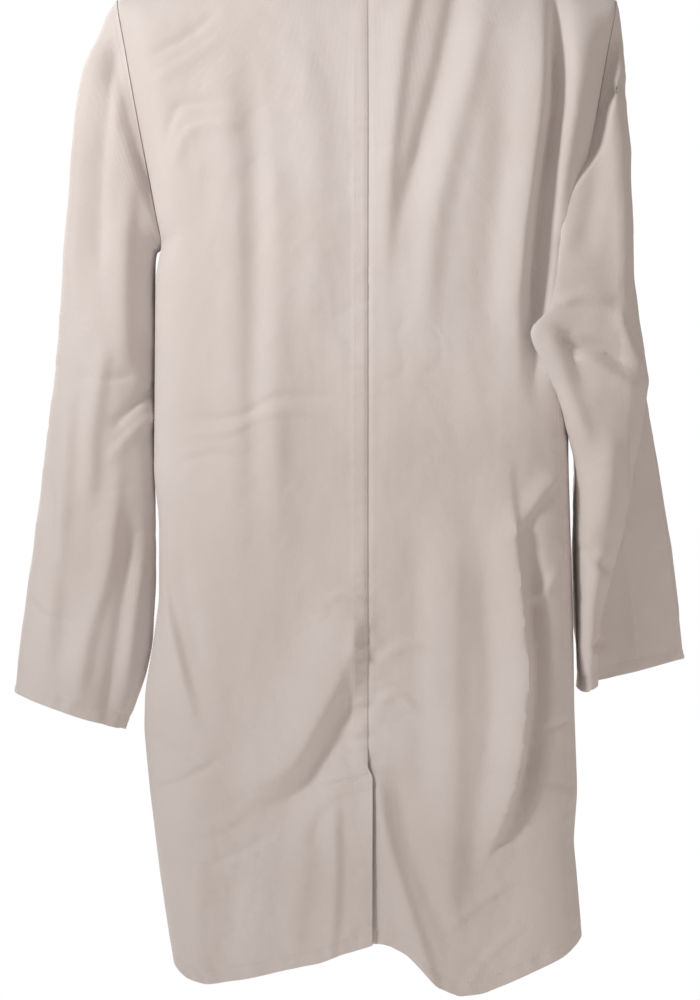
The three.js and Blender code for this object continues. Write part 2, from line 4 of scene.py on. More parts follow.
import bmesh
import bpy
import numpy as np
from bpy.props import FloatProperty, FloatVectorProperty, IntProperty, PointerProperty, StringProperty
from mathutils import Euler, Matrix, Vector


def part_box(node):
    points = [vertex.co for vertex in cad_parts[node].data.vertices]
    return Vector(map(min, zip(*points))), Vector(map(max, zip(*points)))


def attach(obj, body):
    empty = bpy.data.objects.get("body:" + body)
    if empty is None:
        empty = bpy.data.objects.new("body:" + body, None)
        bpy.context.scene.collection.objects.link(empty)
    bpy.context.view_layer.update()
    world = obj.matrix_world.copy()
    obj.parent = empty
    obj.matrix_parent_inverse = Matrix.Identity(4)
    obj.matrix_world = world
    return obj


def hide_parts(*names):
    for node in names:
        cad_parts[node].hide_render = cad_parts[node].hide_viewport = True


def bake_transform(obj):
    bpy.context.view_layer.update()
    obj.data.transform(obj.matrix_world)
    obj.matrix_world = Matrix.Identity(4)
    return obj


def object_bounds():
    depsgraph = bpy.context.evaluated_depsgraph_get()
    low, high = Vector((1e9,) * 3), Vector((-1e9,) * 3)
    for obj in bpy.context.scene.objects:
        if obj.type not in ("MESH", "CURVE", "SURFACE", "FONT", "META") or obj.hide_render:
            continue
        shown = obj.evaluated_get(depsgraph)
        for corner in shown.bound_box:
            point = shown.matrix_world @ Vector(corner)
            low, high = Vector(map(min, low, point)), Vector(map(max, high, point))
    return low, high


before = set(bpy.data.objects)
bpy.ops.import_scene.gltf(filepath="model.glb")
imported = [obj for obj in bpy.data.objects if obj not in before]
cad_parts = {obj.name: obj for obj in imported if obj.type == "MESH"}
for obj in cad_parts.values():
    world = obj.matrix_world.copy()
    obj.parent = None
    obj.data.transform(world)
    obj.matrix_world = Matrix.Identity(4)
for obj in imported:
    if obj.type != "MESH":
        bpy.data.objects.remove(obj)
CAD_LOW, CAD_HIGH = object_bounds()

bl_info = {
    "name": "Laboratory coat",
    "version": (1, 0, 0),
    "blender": (4, 5, 0),
    "location": "3D View > Sidebar > Lab coat",
    "description": "Sews a laboratory coat round its CAD frame",
    "category": "Object",
}

# ---------------------------------------------------------------- sizes of the coat, in millimetres
# A drop is measured down from the origin, and a half is a distance from the coat's middle.
MM = 0.001
HEM_DROP = -CAD_LOW.z / MM
CLOTH = 0.8  # thickness of a panel as it is shown
TRIM = 0.7
STITCH_LIFT = 0.08  # a seam line's middle stands this far off the cloth
RING_STEP = 3.0  # spacing of the rings down a sleeve

NECK_HALF = 78
NECK_BACK = 60
NAPE_DROP = 6
SHOULDER_HALF = 255
SHOULDER_DROP = 85
SEAM_FORWARD = 15
UNDERARM_DROP = 336
ARMHOLE_DEPTH = 50
ARMHOLE_BACK = 10
SHOULDER_ROUND = 110
FRONT_ROUND = 40
SEAM_LAP = 0.4  # the left back laps the middle by this much
SEAM_ALLOWANCE = 6.0  # and the right one runs this far in under it

FRONT_TOP = 25  # drop where the flat fronts start
FRONT_FORWARD = 18
FRONT_SLOPE = 72 / 1053
FRONT_TILT = math.atan(FRONT_SLOPE)
OVERLAP = 18
LAP_STEP = 6.5  # the left front lies this far outside the right one
HINGE_TOP = 120
HINGE_SPREAD = 65 / 1053
BREAK_DROP = 340

VENT_TOP = 866
VENT_FOOT = 1078  # drop where the line that the flaps fold on leaves the cloth
VENT_HALF = 110
VENT_LAP = 5
VENT_UNDERLAP = 28
VENT_STEP = 5.0
HEM_TURN = 15
HEM_STITCH = HEM_TURN - 2  # the hem's sewn line, up from its edge
HEM_REACH = 60  # a hem marks the cloth no further up than this
WAIST_DROP = 620  # the level at which a panel's columns are spaced evenly
FACING_WIDTH = 55
INNER_GAP = 0.3  # between a panel and the hem turned up behind it

# Side seam of each half as [drop, half]: above the underarm it is the armhole's edge.
SIDE = {
    1: [[85, 255], [336, 208], [372, 215], [573, 217], [617, 212], [700, 212], [750, 219],
        [791, 226], [831, 227], [893, 221], [974, 211], [1035, 202], [1078, 195]],
    -1: [[85, 255], [336, 208], [420, 205], [560, 206], [620, 208], [735, 211], [811, 212],
         [893, 215], [944, 211], [974, 214], [1035, 219], [1078, 222]],
}
BACK = [[6, 64], [190, 90], [620, 88], [1078, 97]]
SEAM = [[336, 10], [620, 0]]
# The hem's edge as [x, drop].
HEM = [[-225, 1034], [-197, 1052], [-166, 1064], [-136, 1077], [-115, 1085], [-90, 1087], [-69, 1077],
       [-54, 1060], [-39, 1046], [-18, 1036], [-8, 1036], [28, 1047], [48, 1055], [79, 1061],
       [119, 1070], [158, 1078], [181, 1074], [205, 1060]]

# Levels of a sleeve: outer x and drop, inner x and drop, middle and half depth front to back.
SLEEVE = {
    1: [[256, 85, 209, 337, 10, 50], [270, 110, 210, 338, 10, 50], [290, 168, 213, 342, 9, 50],
        [304, 275, 217, 354, 8, 49], [314, 365, 217, 425, 5, 48], [321, 455, 218, 470, 2, 46],
        [333, 555, 218, 560, 0, 44], [348, 660, 217, 665, -4, 40], [360, 745, 225, 762, -10, 36],
        [366, 797, 254, 836, -16, 33]],
    -1: [[256, 85, 209, 337, 10, 50], [262, 112, 210, 338, 10, 52], [267, 172, 213, 342, 9, 54],
         [271, 275, 219, 354, 8, 56], [275, 365, 219, 425, 6, 58], [286, 455, 219, 470, 4, 58],
         [302, 555, 217, 560, 0, 56], [317, 650, 216, 655, -2, 54], [330, 730, 217, 742, -4, 52],
         [335, 764, 219, 794, -5, 50]],
}
SPLIT_LEVEL = 4.55  # the two pieces of a sleeve meet between its fold and its elbow

# The right sleeve's near layer, from its elbow down: [drop, x of its free edge].
NEAR_EDGE = [[400, 300], [455, 294], [491, 286], [556, 276], [648, 262], [709, 250], [770, 247]]
# How far the right sleeve's fold stands over the back: [drop, reach towards the middle].
ELBOW_FOLD = [[120, 0], [200, 8], [280, 24], [345, 38], [398, 46], [408, 48], [418, 58], [432, 68],
              [450, 62], [495, 37], [556, 17], [600, 11], [700, 10], [830, 9]]

# Folds and creases as (path of x and drop, spread before the line, spread after it, height).
# Going down a path, the second spread is the one on the coat's right.
BACK_FOLDS = [
    ([(-60, 30), (-45, 97), (-33, 168), (-22, 270), (-18, 423)], 18, 8, 7),
    ([(-105, 20), (-91, 76), (-74, 163), (-49, 260), (-29, 342)], 8, 18, -8),
    ([(-120, 60), (-108, 150), (-80, 260), (-62, 360), (-58, 470)], 16, 12, 5),
    ([(-189, 20), (-188, 138), (-187, 199), (-182, 240), (-172, 321), (-166, 411),
      (-168, 520)], 6, 12, -27),
    ([(-172, 20), (-173, 138), (-171, 199), (-165, 260), (-155, 340), (-149, 430), (-152, 520)], 18, 6, 7),
    ([(-140, 110), (-136, 240), (-124, 340), (-118, 470)], 16, 13, -4),
    ([(-82, 560), (-85, 729), (-85, 852), (-81, 974), (-78, 1090)], 22, 13, 6),
    ([(-52, 600), (-50, 729), (-54, 852), (-52, 900)], 14, 16, -4),
    ([(-4, 840), (-12, 890), (-20, 930), (-36, 984), (-61, 1060), (-70, 1100)], 14, 6, 8),
    ([(-26, 850), (-40, 930), (-62, 990), (-90, 1060)], 8, 12, -5),
    ([(-138, 540), (-147, 634), (-156, 729), (-159, 770), (-156, 811), (-150, 862), (-130, 923),
      (-106, 968)], 22, 4, 17),
    ([(-159, 590), (-165, 700), (-170, 770), (-167, 820), (-157, 880), (-136, 945)], 4, 10, -17),
    ([(-112, 610), (-120, 720), (-122, 820), (-108, 930), (-100, 1040)], 12, 14, -5),
    ([(-152, 972), (-112, 996), (-70, 1030)], 7, 3, 2.2),
    ([(-156, 1020), (-125, 1044), (-98, 1080)], 6, 3, 2),
    ([(-172, 828), (-224, 816)], 3, 5, -2.2),
    ([(-174, 878), (-226, 891)], 3, 5, -2.2),
    ([(-140, 640), (-170, 598), (-202, 566)], 4, 12, 6),
    ([(-150, 700), (-176, 690), (-200, 660)], 5, 8, 4),
    ([(226, 162), (185, 143), (140, 108)], 3, 7, -2.6),
    ([(222, 186), (186, 166), (140, 136)], 9, 4, 2),
    ([(204, 262), (190, 216), (172, 207), (128, 207)], 3, 7, -2.2),
    ([(196, 282), (180, 236), (150, 226), (120, 230)], 9, 4, 2),
    ([(150, 120), (135, 260), (130, 484), (134, 760)], 22, 16, 4),
    ([(112, 160), (110, 300), (112, 480), (108, 640)], 12, 12, -3),
    ([(96, 250), (89, 330), (92, 505), (84, 740)], 18, 14, 4),
    ([(55, 130), (50, 300), (52, 480)], 20, 16, 3),
    ([(190, 512), (130, 515), (84, 495), (6, 498)], 7, 3, -1.6),
    ([(200, 534), (140, 531), (90, 512), (30, 516)], 3, 7, 1.5),
    ([(205, 566), (150, 552), (96, 562)], 6, 3, -1.3),
    ([(214, 640), (202, 700), (190, 745), (166, 835)], 14, 5, 8),
    ([(190, 640), (178, 700), (160, 780)], 10, 8, -4),
    ([(232, 832), (200, 842), (158, 860)], 3, 7, -3.2),
    ([(234, 896), (190, 878), (140, 852)], 7, 3, -3.2),
    ([(4, 690), (14, 735), (30, 775), (55, 824), (81, 862), (140, 880)], 34, 12, 13),
    ([(4, 776), (24, 812), (48, 856), (76, 896), (150, 912)], 12, 26, -10),
    ([(-14, 861), (-4, 863), (14, 868), (40, 876), (48, 879)], 6, 3, 2.6),
    ([(-14, 868), (-4, 871), (14, 876), (40, 884), (48, 888)], 3, 9, 2.0),
    ([(25, 872), (23, 940), (24, 1000), (27, 1060)], 3, 10, -2.4),
    ([(32, 868), (31, 940), (32, 1000), (35, 1060)], 9, 3, 2.4),
    ([(-6, 1012), (8, 1016), (26, 1032)], 5, 2.5, 1.8),
    ([(20, 890), (44, 910), (60, 950)], 6, 9, -3),
    ([(-2, 700), (20, 690), (44, 696)], 4, 6, 2.5),
    ([(-6, 800), (-30, 790), (-56, 812)], 6, 4, 3),
    ([(-8, 760), (-34, 742), (-60, 744)], 7, 4, 2.5),
    ([(80, 922), (120, 944), (172, 968)], 7, 3, -2.6),
    ([(110, 900), (150, 922), (204, 930)], 9, 5, 2.5),
    ([(14, 700), (13, 760), (8, 850)], 6, 6, 2.5),
    ([(60, 900), (66, 980), (78, 1080)], 18, 12, 5),
    ([(128, 960), (134, 1010), (140, 1090)], 16, 14, -5),
    ([(170, 950), (172, 1010), (168, 1090)], 14, 12, 5),
]
FRONT_FOLDS = [
    ([(60, 300), (90, 380), (128, 470), (150, 560)], 18, 10, 4),
    ([(150, 120), (150, 260), (168, 360), (196, 420)], 16, 12, 6),
    ([(190, 180), (176, 300), (196, 400)], 14, 9, -6),
    ([(100, 560), (108, 720), (100, 900), (96, 1090)], 26, 18, 5),
    ([(160, 480), (172, 640), (182, 820), (176, 1090)], 20, 14, 6),
    ([(140, 700), (144, 860), (136, 1090)], 14, 16, -4),
    ([(60, 820), (64, 930), (58, 1090)], 18, 14, 3),
    ([(212, 600), (190, 640), (168, 700)], 8, 5, -4),
]
LEFT_SLEEVE_FOLDS = [
    ([(244, 120), (262, 200), (270, 300), (268, 400)], 12, 8, -6),
    ([(262, 110), (286, 190), (296, 300), (300, 440)], 14, 9, 6),
    ([(232, 250), (244, 340), (246, 430), (240, 480)], 14, 9, 5),
    ([(212, 484), (232, 502), (262, 532)], 8, 3, -4.5),
    ([(212, 506), (236, 526), (268, 566)], 4, 9, 3),
    ([(230, 470), (262, 478), (296, 470)], 7, 3, -2),
    ([(262, 430), (276, 520), (282, 620)], 14, 8, 6),
    ([(300, 470), (304, 560), (318, 690), (330, 800)], 13, 8, 6),
    ([(250, 540), (262, 660), (284, 740), (300, 830)], 14, 7, 7),
    ([(236, 590), (244, 680), (262, 790), (274, 850)], 8, 10, -6),
    ([(228, 640), (238, 720), (250, 800)], 9, 6, 4),
    ([(326, 560), (320, 640), (310, 700)], 10, 9, -4),
    ([(352, 696), (330, 714), (300, 724)], 6, 3, -2),
]
RIGHT_SLEEVE_FOLDS = [
    ([(-240, 90), (-214, 150), (-200, 215), (-189, 290)], 5, 14, 7),
    ([(-272, 172), (-250, 183), (-214, 194)], 4, 8, -5),
    ([(-232, 200), (-228, 290), (-214, 372)], 12, 12, -4),
    ([(-262, 200), (-262, 300), (-256, 400)], 14, 12, 4),
    ([(-186, 404), (-215, 396), (-252, 402)], 5, 9, 4),
    ([(-190, 432), (-208, 444), (-236, 448), (-274, 470)], 4, 10, -8),
    ([(-206, 452), (-230, 462), (-276, 490)], 9, 5, 5),
    ([(-174, 418), (-190, 452), (-206, 500), (-232, 560)], 10, 6, 5),
    ([(-190, 420), (-204, 450), (-226, 500)], 4, 6, -4),
    ([(-250, 400), (-262, 440), (-280, 470)], 8, 5, 3),
    ([(-244, 520), (-240, 590), (-236, 640)], 14, 8, 5),
    ([(-214, 640), (-236, 664), (-252, 668)], 5, 8, -5),
    ([(-236, 640), (-226, 700), (-222, 790)], 8, 6, 6),
    ([(-222, 742), (-240, 748), (-250, 746)], 4, 6, -5),
]

# ---------------------------------------------------------------- how the pieces follow the bodies
VENT_ALONG = np.array([VENT_HALF, -(VENT_FOOT - VENT_TOP)]) / math.hypot(VENT_HALF, VENT_FOOT - VENT_TOP)


def across_vent(side):
    """Two points that straddle the line a vent flap folds on, square to it."""
    toward = np.array([VENT_ALONG[1], -VENT_ALONG[0]])
    middle = np.array([VENT_HALF / 2, -(VENT_TOP + VENT_FOOT) / 2])
    start, end = middle - 15 * toward, middle + 35 * toward
    return [(side * x * MM, 0.097, z * MM) for x, z in (start, end)]


def across_hinge(side):
    """Two points that straddle the line a front folds on."""
    along = np.array([HINGE_SPREAD, -1]) / math.hypot(HINGE_SPREAD, 1)
    toward = np.array([along[1], -along[0]])
    middle = np.array([HINGE_TOP + 500 * HINGE_SPREAD, -FRONT_TOP - 500])
    start, end = middle - 26 * toward, middle + 26 * toward
    return [(side * x * MM, -0.055, z * MM) for x, z in (start, end)]


def held_like(word, side):
    """The bodies that every piece of one half of the coat follows."""
    out = 1 if side > 0 else 0.9
    return {
        "coat": ("coat",),
        "front": (f"front_{word}",),
        "back": ("coat", f"vent_{word}", *across_vent(side)),
        "whole_front": ("coat", f"front_{word}", *across_hinge(side)),
        "collar": ("coat", f"front_{word}", (side * 0.09, 0.012, 0.0), (side * 0.09, -0.030, -0.02)),
        "upper": ("coat", f"sleeve_{word}", (side * 0.258, 0.008, -0.312),
                  (side * (0.258 + 0.040 * out), 0.008, -0.366)),
        "lower": (f"sleeve_{word}", f"forearm_{word}", (side * 0.27, 0, -0.458), (side * 0.27, 0, -0.562)),
        "forearm": (f"forearm_{word}",),
    }


HALVES = {1: "left", -1: "right"}
HELD = {side: held_like(word, side) for side, word in HALVES.items()}
SEWN = []  # (piece's name, bodies it follows, lines to be stitched), filled as the cloth is made


def follow(piece, bodies):
    """Rides on one body; given two, it only has its transform baked into its mesh."""
    if len(bodies) == 1:
        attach(piece, *bodies)
    else:
        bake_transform(piece)


# ---------------------------------------------------------------- curves, folds and crumples
def lerp(start, end, share):
    return start + (end - start) * share


def smooth(share):
    """0 below 0, 1 above 1, and an easy slope between."""
    share = np.clip(share, 0, 1)
    return share * share * (3 - 2 * share)


def along(profile, place, soften=9.0):
    """A profile of [place, value] points, read with its corners eased."""
    places, values = np.array(profile, float).T
    offsets = np.linspace(-soften, soften, 5)
    return sum(np.interp(place + offset, places, values) for offset in offsets) / len(offsets)


def curve_through(points, count):
    """Evenly numbered points of a smooth curve through these ones."""
    points = np.array(points, float)
    padded = np.vstack([2 * points[0] - points[1], points, 2 * points[-1] - points[-2]])
    place = np.linspace(0, len(points) - 1, count)
    first = np.minimum(place.astype(int), len(points) - 2)
    share = (place - first)[:, None]
    a, b, c, d = (padded[first + i] for i in range(4))
    cubic = (3 * b - a - 3 * c + d) * share**3
    return 0.5 * (2 * b + (c - a) * share + (2 * a - 5 * b + 4 * c - d) * share**2 + cubic)


def off_path(x, drop, path):
    """How far each point is from a path, on which side of it, and how far along it."""
    line = curve_through(path, 6 * len(path))
    nearest = np.full(x.shape, np.inf)
    side, run = np.zeros(x.shape), np.zeros(x.shape)
    for number, (start, end) in enumerate(zip(line[:-1], line[1:])):
        way = end - start
        share = ((x - start[0]) * way[0] + (drop - start[1]) * way[1]) / (way @ way)
        share = np.clip(share, 0, 1)
        distance = np.hypot(x - start[0] - share * way[0], drop - start[1] - share * way[1])
        closer = distance < nearest
        nearest = np.where(closer, distance, nearest)
        side = np.where(closer, way[0] * (drop - start[1]) - way[1] * (x - start[0]), side)
        run = np.where(closer, (number + share) / (len(line) - 1), run)
    return nearest, side, run


def folded(x, drop, folds):
    """Height of these folds at each point."""
    height = np.zeros(x.shape)
    for path, before, after, rise in folds:
        reach = 3 * max(before, after)
        low, high = np.min(path, axis=0) - reach, np.max(path, axis=0) + reach
        near = (x > low[0]) & (x < high[0]) & (drop > low[1]) & (drop < high[1])
        if not near.any():
            continue
        distance, side, run = off_path(x[near], drop[near], path)
        spread = np.where(side > 0, after, before)
        strength = smooth(run / 0.25) * smooth((1 - run) / 0.25)
        height[near] += rise * strength * np.exp(-((distance / spread) ** 2))
    return height


def crumple(x, drop, wide, tall, seed):
    """Random smooth heights between -1 and 1, in cells of this size."""
    heights = np.random.default_rng(seed).uniform(-1, 1, (61, 61))
    turned_x, turned_drop = 0.94 * x + 0.34 * drop * wide / tall, 0.94 * drop - 0.34 * x * tall / wide
    a, b = turned_x / wide, turned_drop / tall
    column, row = np.floor(a).astype(int), np.floor(b).astype(int)
    right, down = smooth(a - column), smooth(b - row)

    def corner(i, j):
        return heights[(column + i) % 61, (row + j) % 61]

    return lerp(lerp(corner(0, 0), corner(1, 0), right), lerp(corner(0, 1), corner(1, 1), right), down)


def worn(x, drop, seed):
    """The small unevenness of cloth that has been washed and hung: slow waves, dents and fine creases."""
    waves = 2.6 * crumple(x, drop, 70, 190, seed) + 1.1 * crumple(x, drop, 30, 64, seed + 1)
    dents = 0.45 * crumple(x, drop, 13, 22, seed + 2)
    patchy = smooth(0.5 + crumple(x, drop, 75, 75, seed + 5))
    creases = 0.75 * patchy * (1 - np.abs(crumple(x, drop, 42, 36, seed + 3))) ** 11
    more = 0.4 * (1 - patchy) * (1 - np.abs(crumple(x, drop, 24, 48, seed + 4))) ** 9
    low = 0.35 + 0.75 * smooth((drop - 760) / 160)  # the lower third is more creased
    small = low * patchy * (1 - np.abs(crumple(x, drop, 17, 15, seed + 6))) ** 7
    return waves + dents - creases + more - small


def hem_marks(edge, run, seed):
    """Relief of a turned hem: its sewn line, and the puckers between that and the edge."""
    ripple = crumple(run, edge * 0.2, 7, 9, seed)
    inside = smooth(edge / 4) * smooth((HEM_TURN + 3 - edge) / 6)
    line = -0.7 * np.exp(-(((edge - HEM_TURN + 2) / 1.8) ** 2))
    roll = 0.5 * np.exp(-(((edge - 2) / 3) ** 2))
    return 1.7 * ripple * inside + line + roll


# ---------------------------------------------------------------- the coat's surface
def rounded(share, power):
    return (1 - np.clip(share, 0, 1) ** power) ** (1 / power)


def domed(drop, height):
    return np.sqrt(1 - (1 - np.clip(drop / height, 0, 1)) ** 2)


def armhole_bulge(drop):
    middle = (SHOULDER_DROP + UNDERARM_DROP) / 2
    share = (drop - middle) / (UNDERARM_DROP - middle)
    return ARMHOLE_DEPTH * np.sqrt(np.clip(1 - share * share, 0, 1))


def eased_bulge(drop, to_side):
    """The armhole's bulge, its lower end eased away from the sewn edge."""
    eased = sum(armhole_bulge(drop + offset) for offset in np.linspace(-48, 48, 13)) / 13
    return lerp(armhole_bulge(drop), eased, smooth(to_side / 30) * smooth((drop - 220) / 60))


def armhole_tuck(drop, side):
    """How far the sewn edge of an armhole sinks at the back."""
    return (15 if side > 0 else 20) * smooth((drop - 92) / 60) * smooth((335 - drop) / 70)


def top_drop(half):
    neck = NAPE_DROP * (1 - half / NECK_HALF)
    shoulder = SHOULDER_DROP * (half - NECK_HALF) / (SHOULDER_HALF - NECK_HALF)
    return np.where(half < NECK_HALF, neck, shoulder)


def top_depth(half):
    neck = (NECK_BACK + SEAM_FORWARD) * np.sqrt(np.clip(1 - (half / NECK_HALF) ** 2, 0, 1)) - SEAM_FORWARD
    share = np.clip((half - HINGE_TOP) / (SHOULDER_HALF - HINGE_TOP), 0, 1)
    return np.where(half < NECK_HALF, neck, lerp(-SEAM_FORWARD, ARMHOLE_BACK, share))


def back_depth(x, drop, side):
    half = np.abs(x)
    edge = along(SEAM, drop) + eased_bulge(drop, along(SIDE[side], drop) - half)
    dome = domed(drop - top_drop(half), SHOULDER_ROUND)
    full = (along(BACK, drop) - edge) * rounded(half / along(SIDE[side], drop), 4)
    return edge + full * dome + (top_depth(half) - ARMHOLE_BACK) * (1 - dome)


def back_relief(x, drop, side):
    """Folds, wear, and the felled seam down the middle with its puckers."""
    half = np.abs(x)
    to_side = along(SIDE[side], drop) - half
    calm = smooth(to_side / 16) * smooth((drop - top_drop(half)) / 14)
    flare = 5.5 * smooth((drop - 560) / 500) * crumple(x, drop * 0.15, 44, 90, 51)
    height = (folded(x, drop, BACK_FOLDS) + worn(x, drop, 7) + flare) * calm
    sewn = smooth((VENT_TOP + 4 - drop) / 10)
    fell = 0.8 * smooth((x - 0.4) / 1.2) * smooth((14.5 - x) / 1.6) * sewn
    tight = 0.8 + 2.6 * smooth((drop - 600) / 160)
    on_fell, beside = np.exp(-(((x - 6) / 10) ** 2)), np.exp(-(((x + 9) / 8) ** 2))
    pucker = tight * crumple(drop, x * 0.2, 7, 12, 63) * on_fell * sewn
    pucker = pucker + 0.5 * tight * crumple(drop, x * 0.4, 9, 12, 65) * beside * sewn
    groove = -0.5 * np.exp(-(((x + 1) / 1.8) ** 2)) * sewn
    gathers = 2.2 * crumple(x + 0.5 * drop, drop, 7, 30, 71)
    gathers = gathers * np.exp(-(((drop - 852) / 18) ** 2) - ((x - 12) / 16) ** 2)
    seam_in, amount = (6, 0.9) if side > 0 else (10, 1.5)
    at_seam = np.exp(-(((to_side - seam_in) / 7) ** 2))
    side_pucker = amount * crumple(drop, to_side * 0.3, 8, 8, 77) * at_seam
    side_pucker = side_pucker - 0.8 * (side < 0) * np.exp(-(((to_side - 5) / 1.8) ** 2))
    side_pucker = side_pucker * smooth((drop - UNDERARM_DROP) / 30)
    tuck = armhole_tuck(drop, side) * np.exp(-((to_side / 17) ** 2))
    return height + fell + pucker + groove + gathers + side_pucker - tuck


def front_plane(drop, step):
    return -FRONT_FORWARD - step - (drop - FRONT_TOP) * FRONT_SLOPE


def hinge_half(drop):
    return HINGE_TOP + (drop - FRONT_TOP) * HINGE_SPREAD


def front_depth(half, drop, side, relief=True):
    """The front's outer face. half is below 0 past the middle."""
    step = LAP_STEP if side > 0 else 0
    reach = along(SIDE[side], drop)
    edge = along(SEAM, drop) - eased_bulge(drop, reach - half)
    hinge = hinge_half(drop)
    share = np.clip((half - hinge) / (reach - hinge), 0, 1)
    out = smooth((half - hinge + 25) / 40)
    dome = lerp(1, domed(drop - top_drop(np.maximum(half, NECK_HALF)), FRONT_ROUND), out)
    flat = front_plane(drop, step)
    depth = edge + (flat - edge) * rounded(share, 2.4) * dome
    depth = depth + (top_depth(np.maximum(half, NECK_HALF)) - ARMHOLE_BACK) * (1 - dome)
    if not relief:
        return depth
    calm = smooth((reach - half) / 18) * smooth((drop - top_drop(np.maximum(half, NECK_HALF))) / 16)
    loose = 0.12 + 0.88 * smooth((half - 45) / 60)
    seed = 107 if side > 0 else 131
    height = folded(half, drop, FRONT_FOLDS) * loose + 0.8 * loose * worn(half, drop, seed)
    return depth - height * calm


# ---------------------------------------------------------------- meshes
def normals_of(points, ring=False):
    if ring:
        across = np.roll(points, -1, axis=1) - np.roll(points, 1, axis=1)
    else:
        across = np.gradient(points, axis=1)
    normals = np.cross(across, np.gradient(points, axis=0))
    return normals / (np.linalg.norm(normals, axis=2, keepdims=True) + 1e-9)


def turned_out(points, normals, ring):
    """True if a grid's normals already point away from the coat's inside."""
    row = len(points) // 2
    outward = points[row] - (points[row].mean(axis=0) if ring else np.array([0, 0, points[row][0, 2]]))
    if not ring:
        outward[:, 0] *= 0.2
    return np.sum(normals[row] * outward) > 0


def outward_normals(points, ring=False):
    normals = normals_of(points, ring)
    return normals if turned_out(points, normals, ring) else -normals


def arc_lengths(points, axis, ring=False):
    """Distance along a grid's middle line in one direction."""
    line = points[len(points) // 2] if axis == 1 else points[:, points.shape[1] // 2]
    if ring and axis == 1:
        line = np.vstack([line, line[:1]])
    return np.concatenate([[0], np.cumsum(np.linalg.norm(np.diff(line, axis=0), axis=1))])


def link(name, mesh):
    piece = bpy.data.objects.new(name, mesh)
    bpy.context.scene.collection.objects.link(piece)
    return piece


def cloth(name, points, finish, thickness=CLOTH, ring=False):
    """Closes a grid of points on the outer face into a thin sheet with rims."""
    normals = normals_of(points, ring)
    outward = turned_out(points, normals, ring)
    inner = points - normals * (thickness if outward else -thickness)
    rows, columns = points.shape[:2]
    number = np.arange(rows * columns).reshape(rows, columns)
    if ring:
        number = np.hstack([number, number[:, :1]])
    a, b, c, d = number[:-1, :-1], number[:-1, 1:], number[1:, 1:], number[1:, :-1]
    face = np.stack([a, b, c, d], axis=-1).reshape(-1, 4)
    size = rows * columns
    rims = [np.stack([b[0], a[0], a[0] + size, b[0] + size], axis=-1)]
    rims.append(np.stack([d[-1], c[-1], c[-1] + size, d[-1] + size], axis=-1))
    if not ring:
        rims.append(np.stack([a[:, 0], d[:, 0], d[:, 0] + size, a[:, 0] + size], axis=-1))
        rims.append(np.stack([c[:, -1], b[:, -1], b[:, -1] + size, c[:, -1] + size], axis=-1))
    faces = np.vstack([face, face[:, ::-1] + size, *rims])
    if not outward:
        faces = faces[:, ::-1]
    mesh = bpy.data.meshes.new(f"{name}_cloth")
    vertices = np.concatenate([points.reshape(-1, 3), inner.reshape(-1, 3)]) * MM
    mesh.from_pydata(vertices.tolist(), [], faces.tolist())
    wide, tall = arc_lengths(points, 1, ring) * MM, arc_lengths(points, 0) * MM
    place = faces.ravel() % size
    column, row = place % columns, place // columns
    if ring:  # the closing column of faces reads the far end of the cloth
        corner = column.reshape(-1, 4)
        wraps = (corner.max(axis=1) - corner.min(axis=1) > 1)[:, None] & (corner == 0)
        column = np.where(wraps, columns, corner).ravel()
    grain = mesh.uv_layers.new(name="grain")
    grain.data.foreach_set("uv", np.stack([wide[column], tall[row]], axis=-1).ravel())
    mesh.materials.append(finish)
    mesh.shade_smooth()
    mesh.set_sharp_from_angle(angle=math.radians(60))
    return link(f"{name}_cloth", mesh)


def seam_line(points, rows, columns, ring=False):
    """Points on a grid at these row and column places, lifted off the outer face."""
    raised = points + STITCH_LIFT * outward_normals(points, ring)
    rows = np.clip(np.broadcast_to(rows, np.shape(columns)), 0, len(points) - 1.001)
    columns = np.clip(columns, 0, points.shape[1] - 1.001)
    r, c = rows.astype(int), columns.astype(int)
    down, right = (rows - r)[:, None], (columns - c)[:, None]
    above = lerp(raised[r, c], raised[r, c + 1], right)
    below = lerp(raised[r + 1, c], raised[r + 1, c + 1], right)
    return lerp(above, below, down)


def marked(points, path):
    """A line on a grid through these points of x and drop."""
    x, drop = np.array(path, float).T
    row = np.full(x.shape, len(points) / 2)
    column = np.full(x.shape, points.shape[1] / 2)
    rows, columns = np.arange(len(points), dtype=float), np.arange(points.shape[1], dtype=float)
    rising = points[0, -1, 0] > points[0, 0, 0]
    for _ in range(4):
        for i in range(len(x)):
            row[i] = np.interp(drop[i], -points[:, int(round(column[i])), 2], rows)
            across = points[int(round(row[i])), :, 0]
            column[i] = np.interp(x[i], across, columns) if rising else np.interp(-x[i], -across, columns)
    return seam_line(points, row, column)


def even_shares(section, count):
    """Shares of the way along a section that space its points evenly."""
    dense = np.linspace(0, 1, 600)
    line = section(dense)
    run = np.concatenate([[0], np.cumsum(np.linalg.norm(np.diff(line, axis=0), axis=1))])
    return np.interp(np.linspace(0, run[-1], count), run, dense)


def down_rows(top, bottom, count):
    """A drop for every row and column: rows run evenly from the top edge to the bottom one."""
    return top[None, :] + (bottom - top)[None, :] * np.linspace(0, 1, count)[:, None]


# ---------------------------------------------------------------- finishes
def colour(code):
    """A colour written as in a paint list, as the shader wants it."""
    parts = [int(code[i:i + 2], 16) / 255 for i in (1, 3, 5)]
    return (*(p / 12.92 if p <= 0.04045 else ((p + 0.055) / 1.055) ** 2.4 for p in parts), 1)


def node(tree, kind, values=None, **settings):
    """Adds a node; its inputs take plain values or other nodes' outputs."""
    made = tree.nodes.new(kind)
    for name, value in settings.items():
        setattr(made, name, value)
    for socket, value in (values or {}).items():
        if isinstance(value, bpy.types.NodeSocket):
            tree.links.new(value, made.inputs[socket])
        else:
            made.inputs[socket].default_value = value
    return made


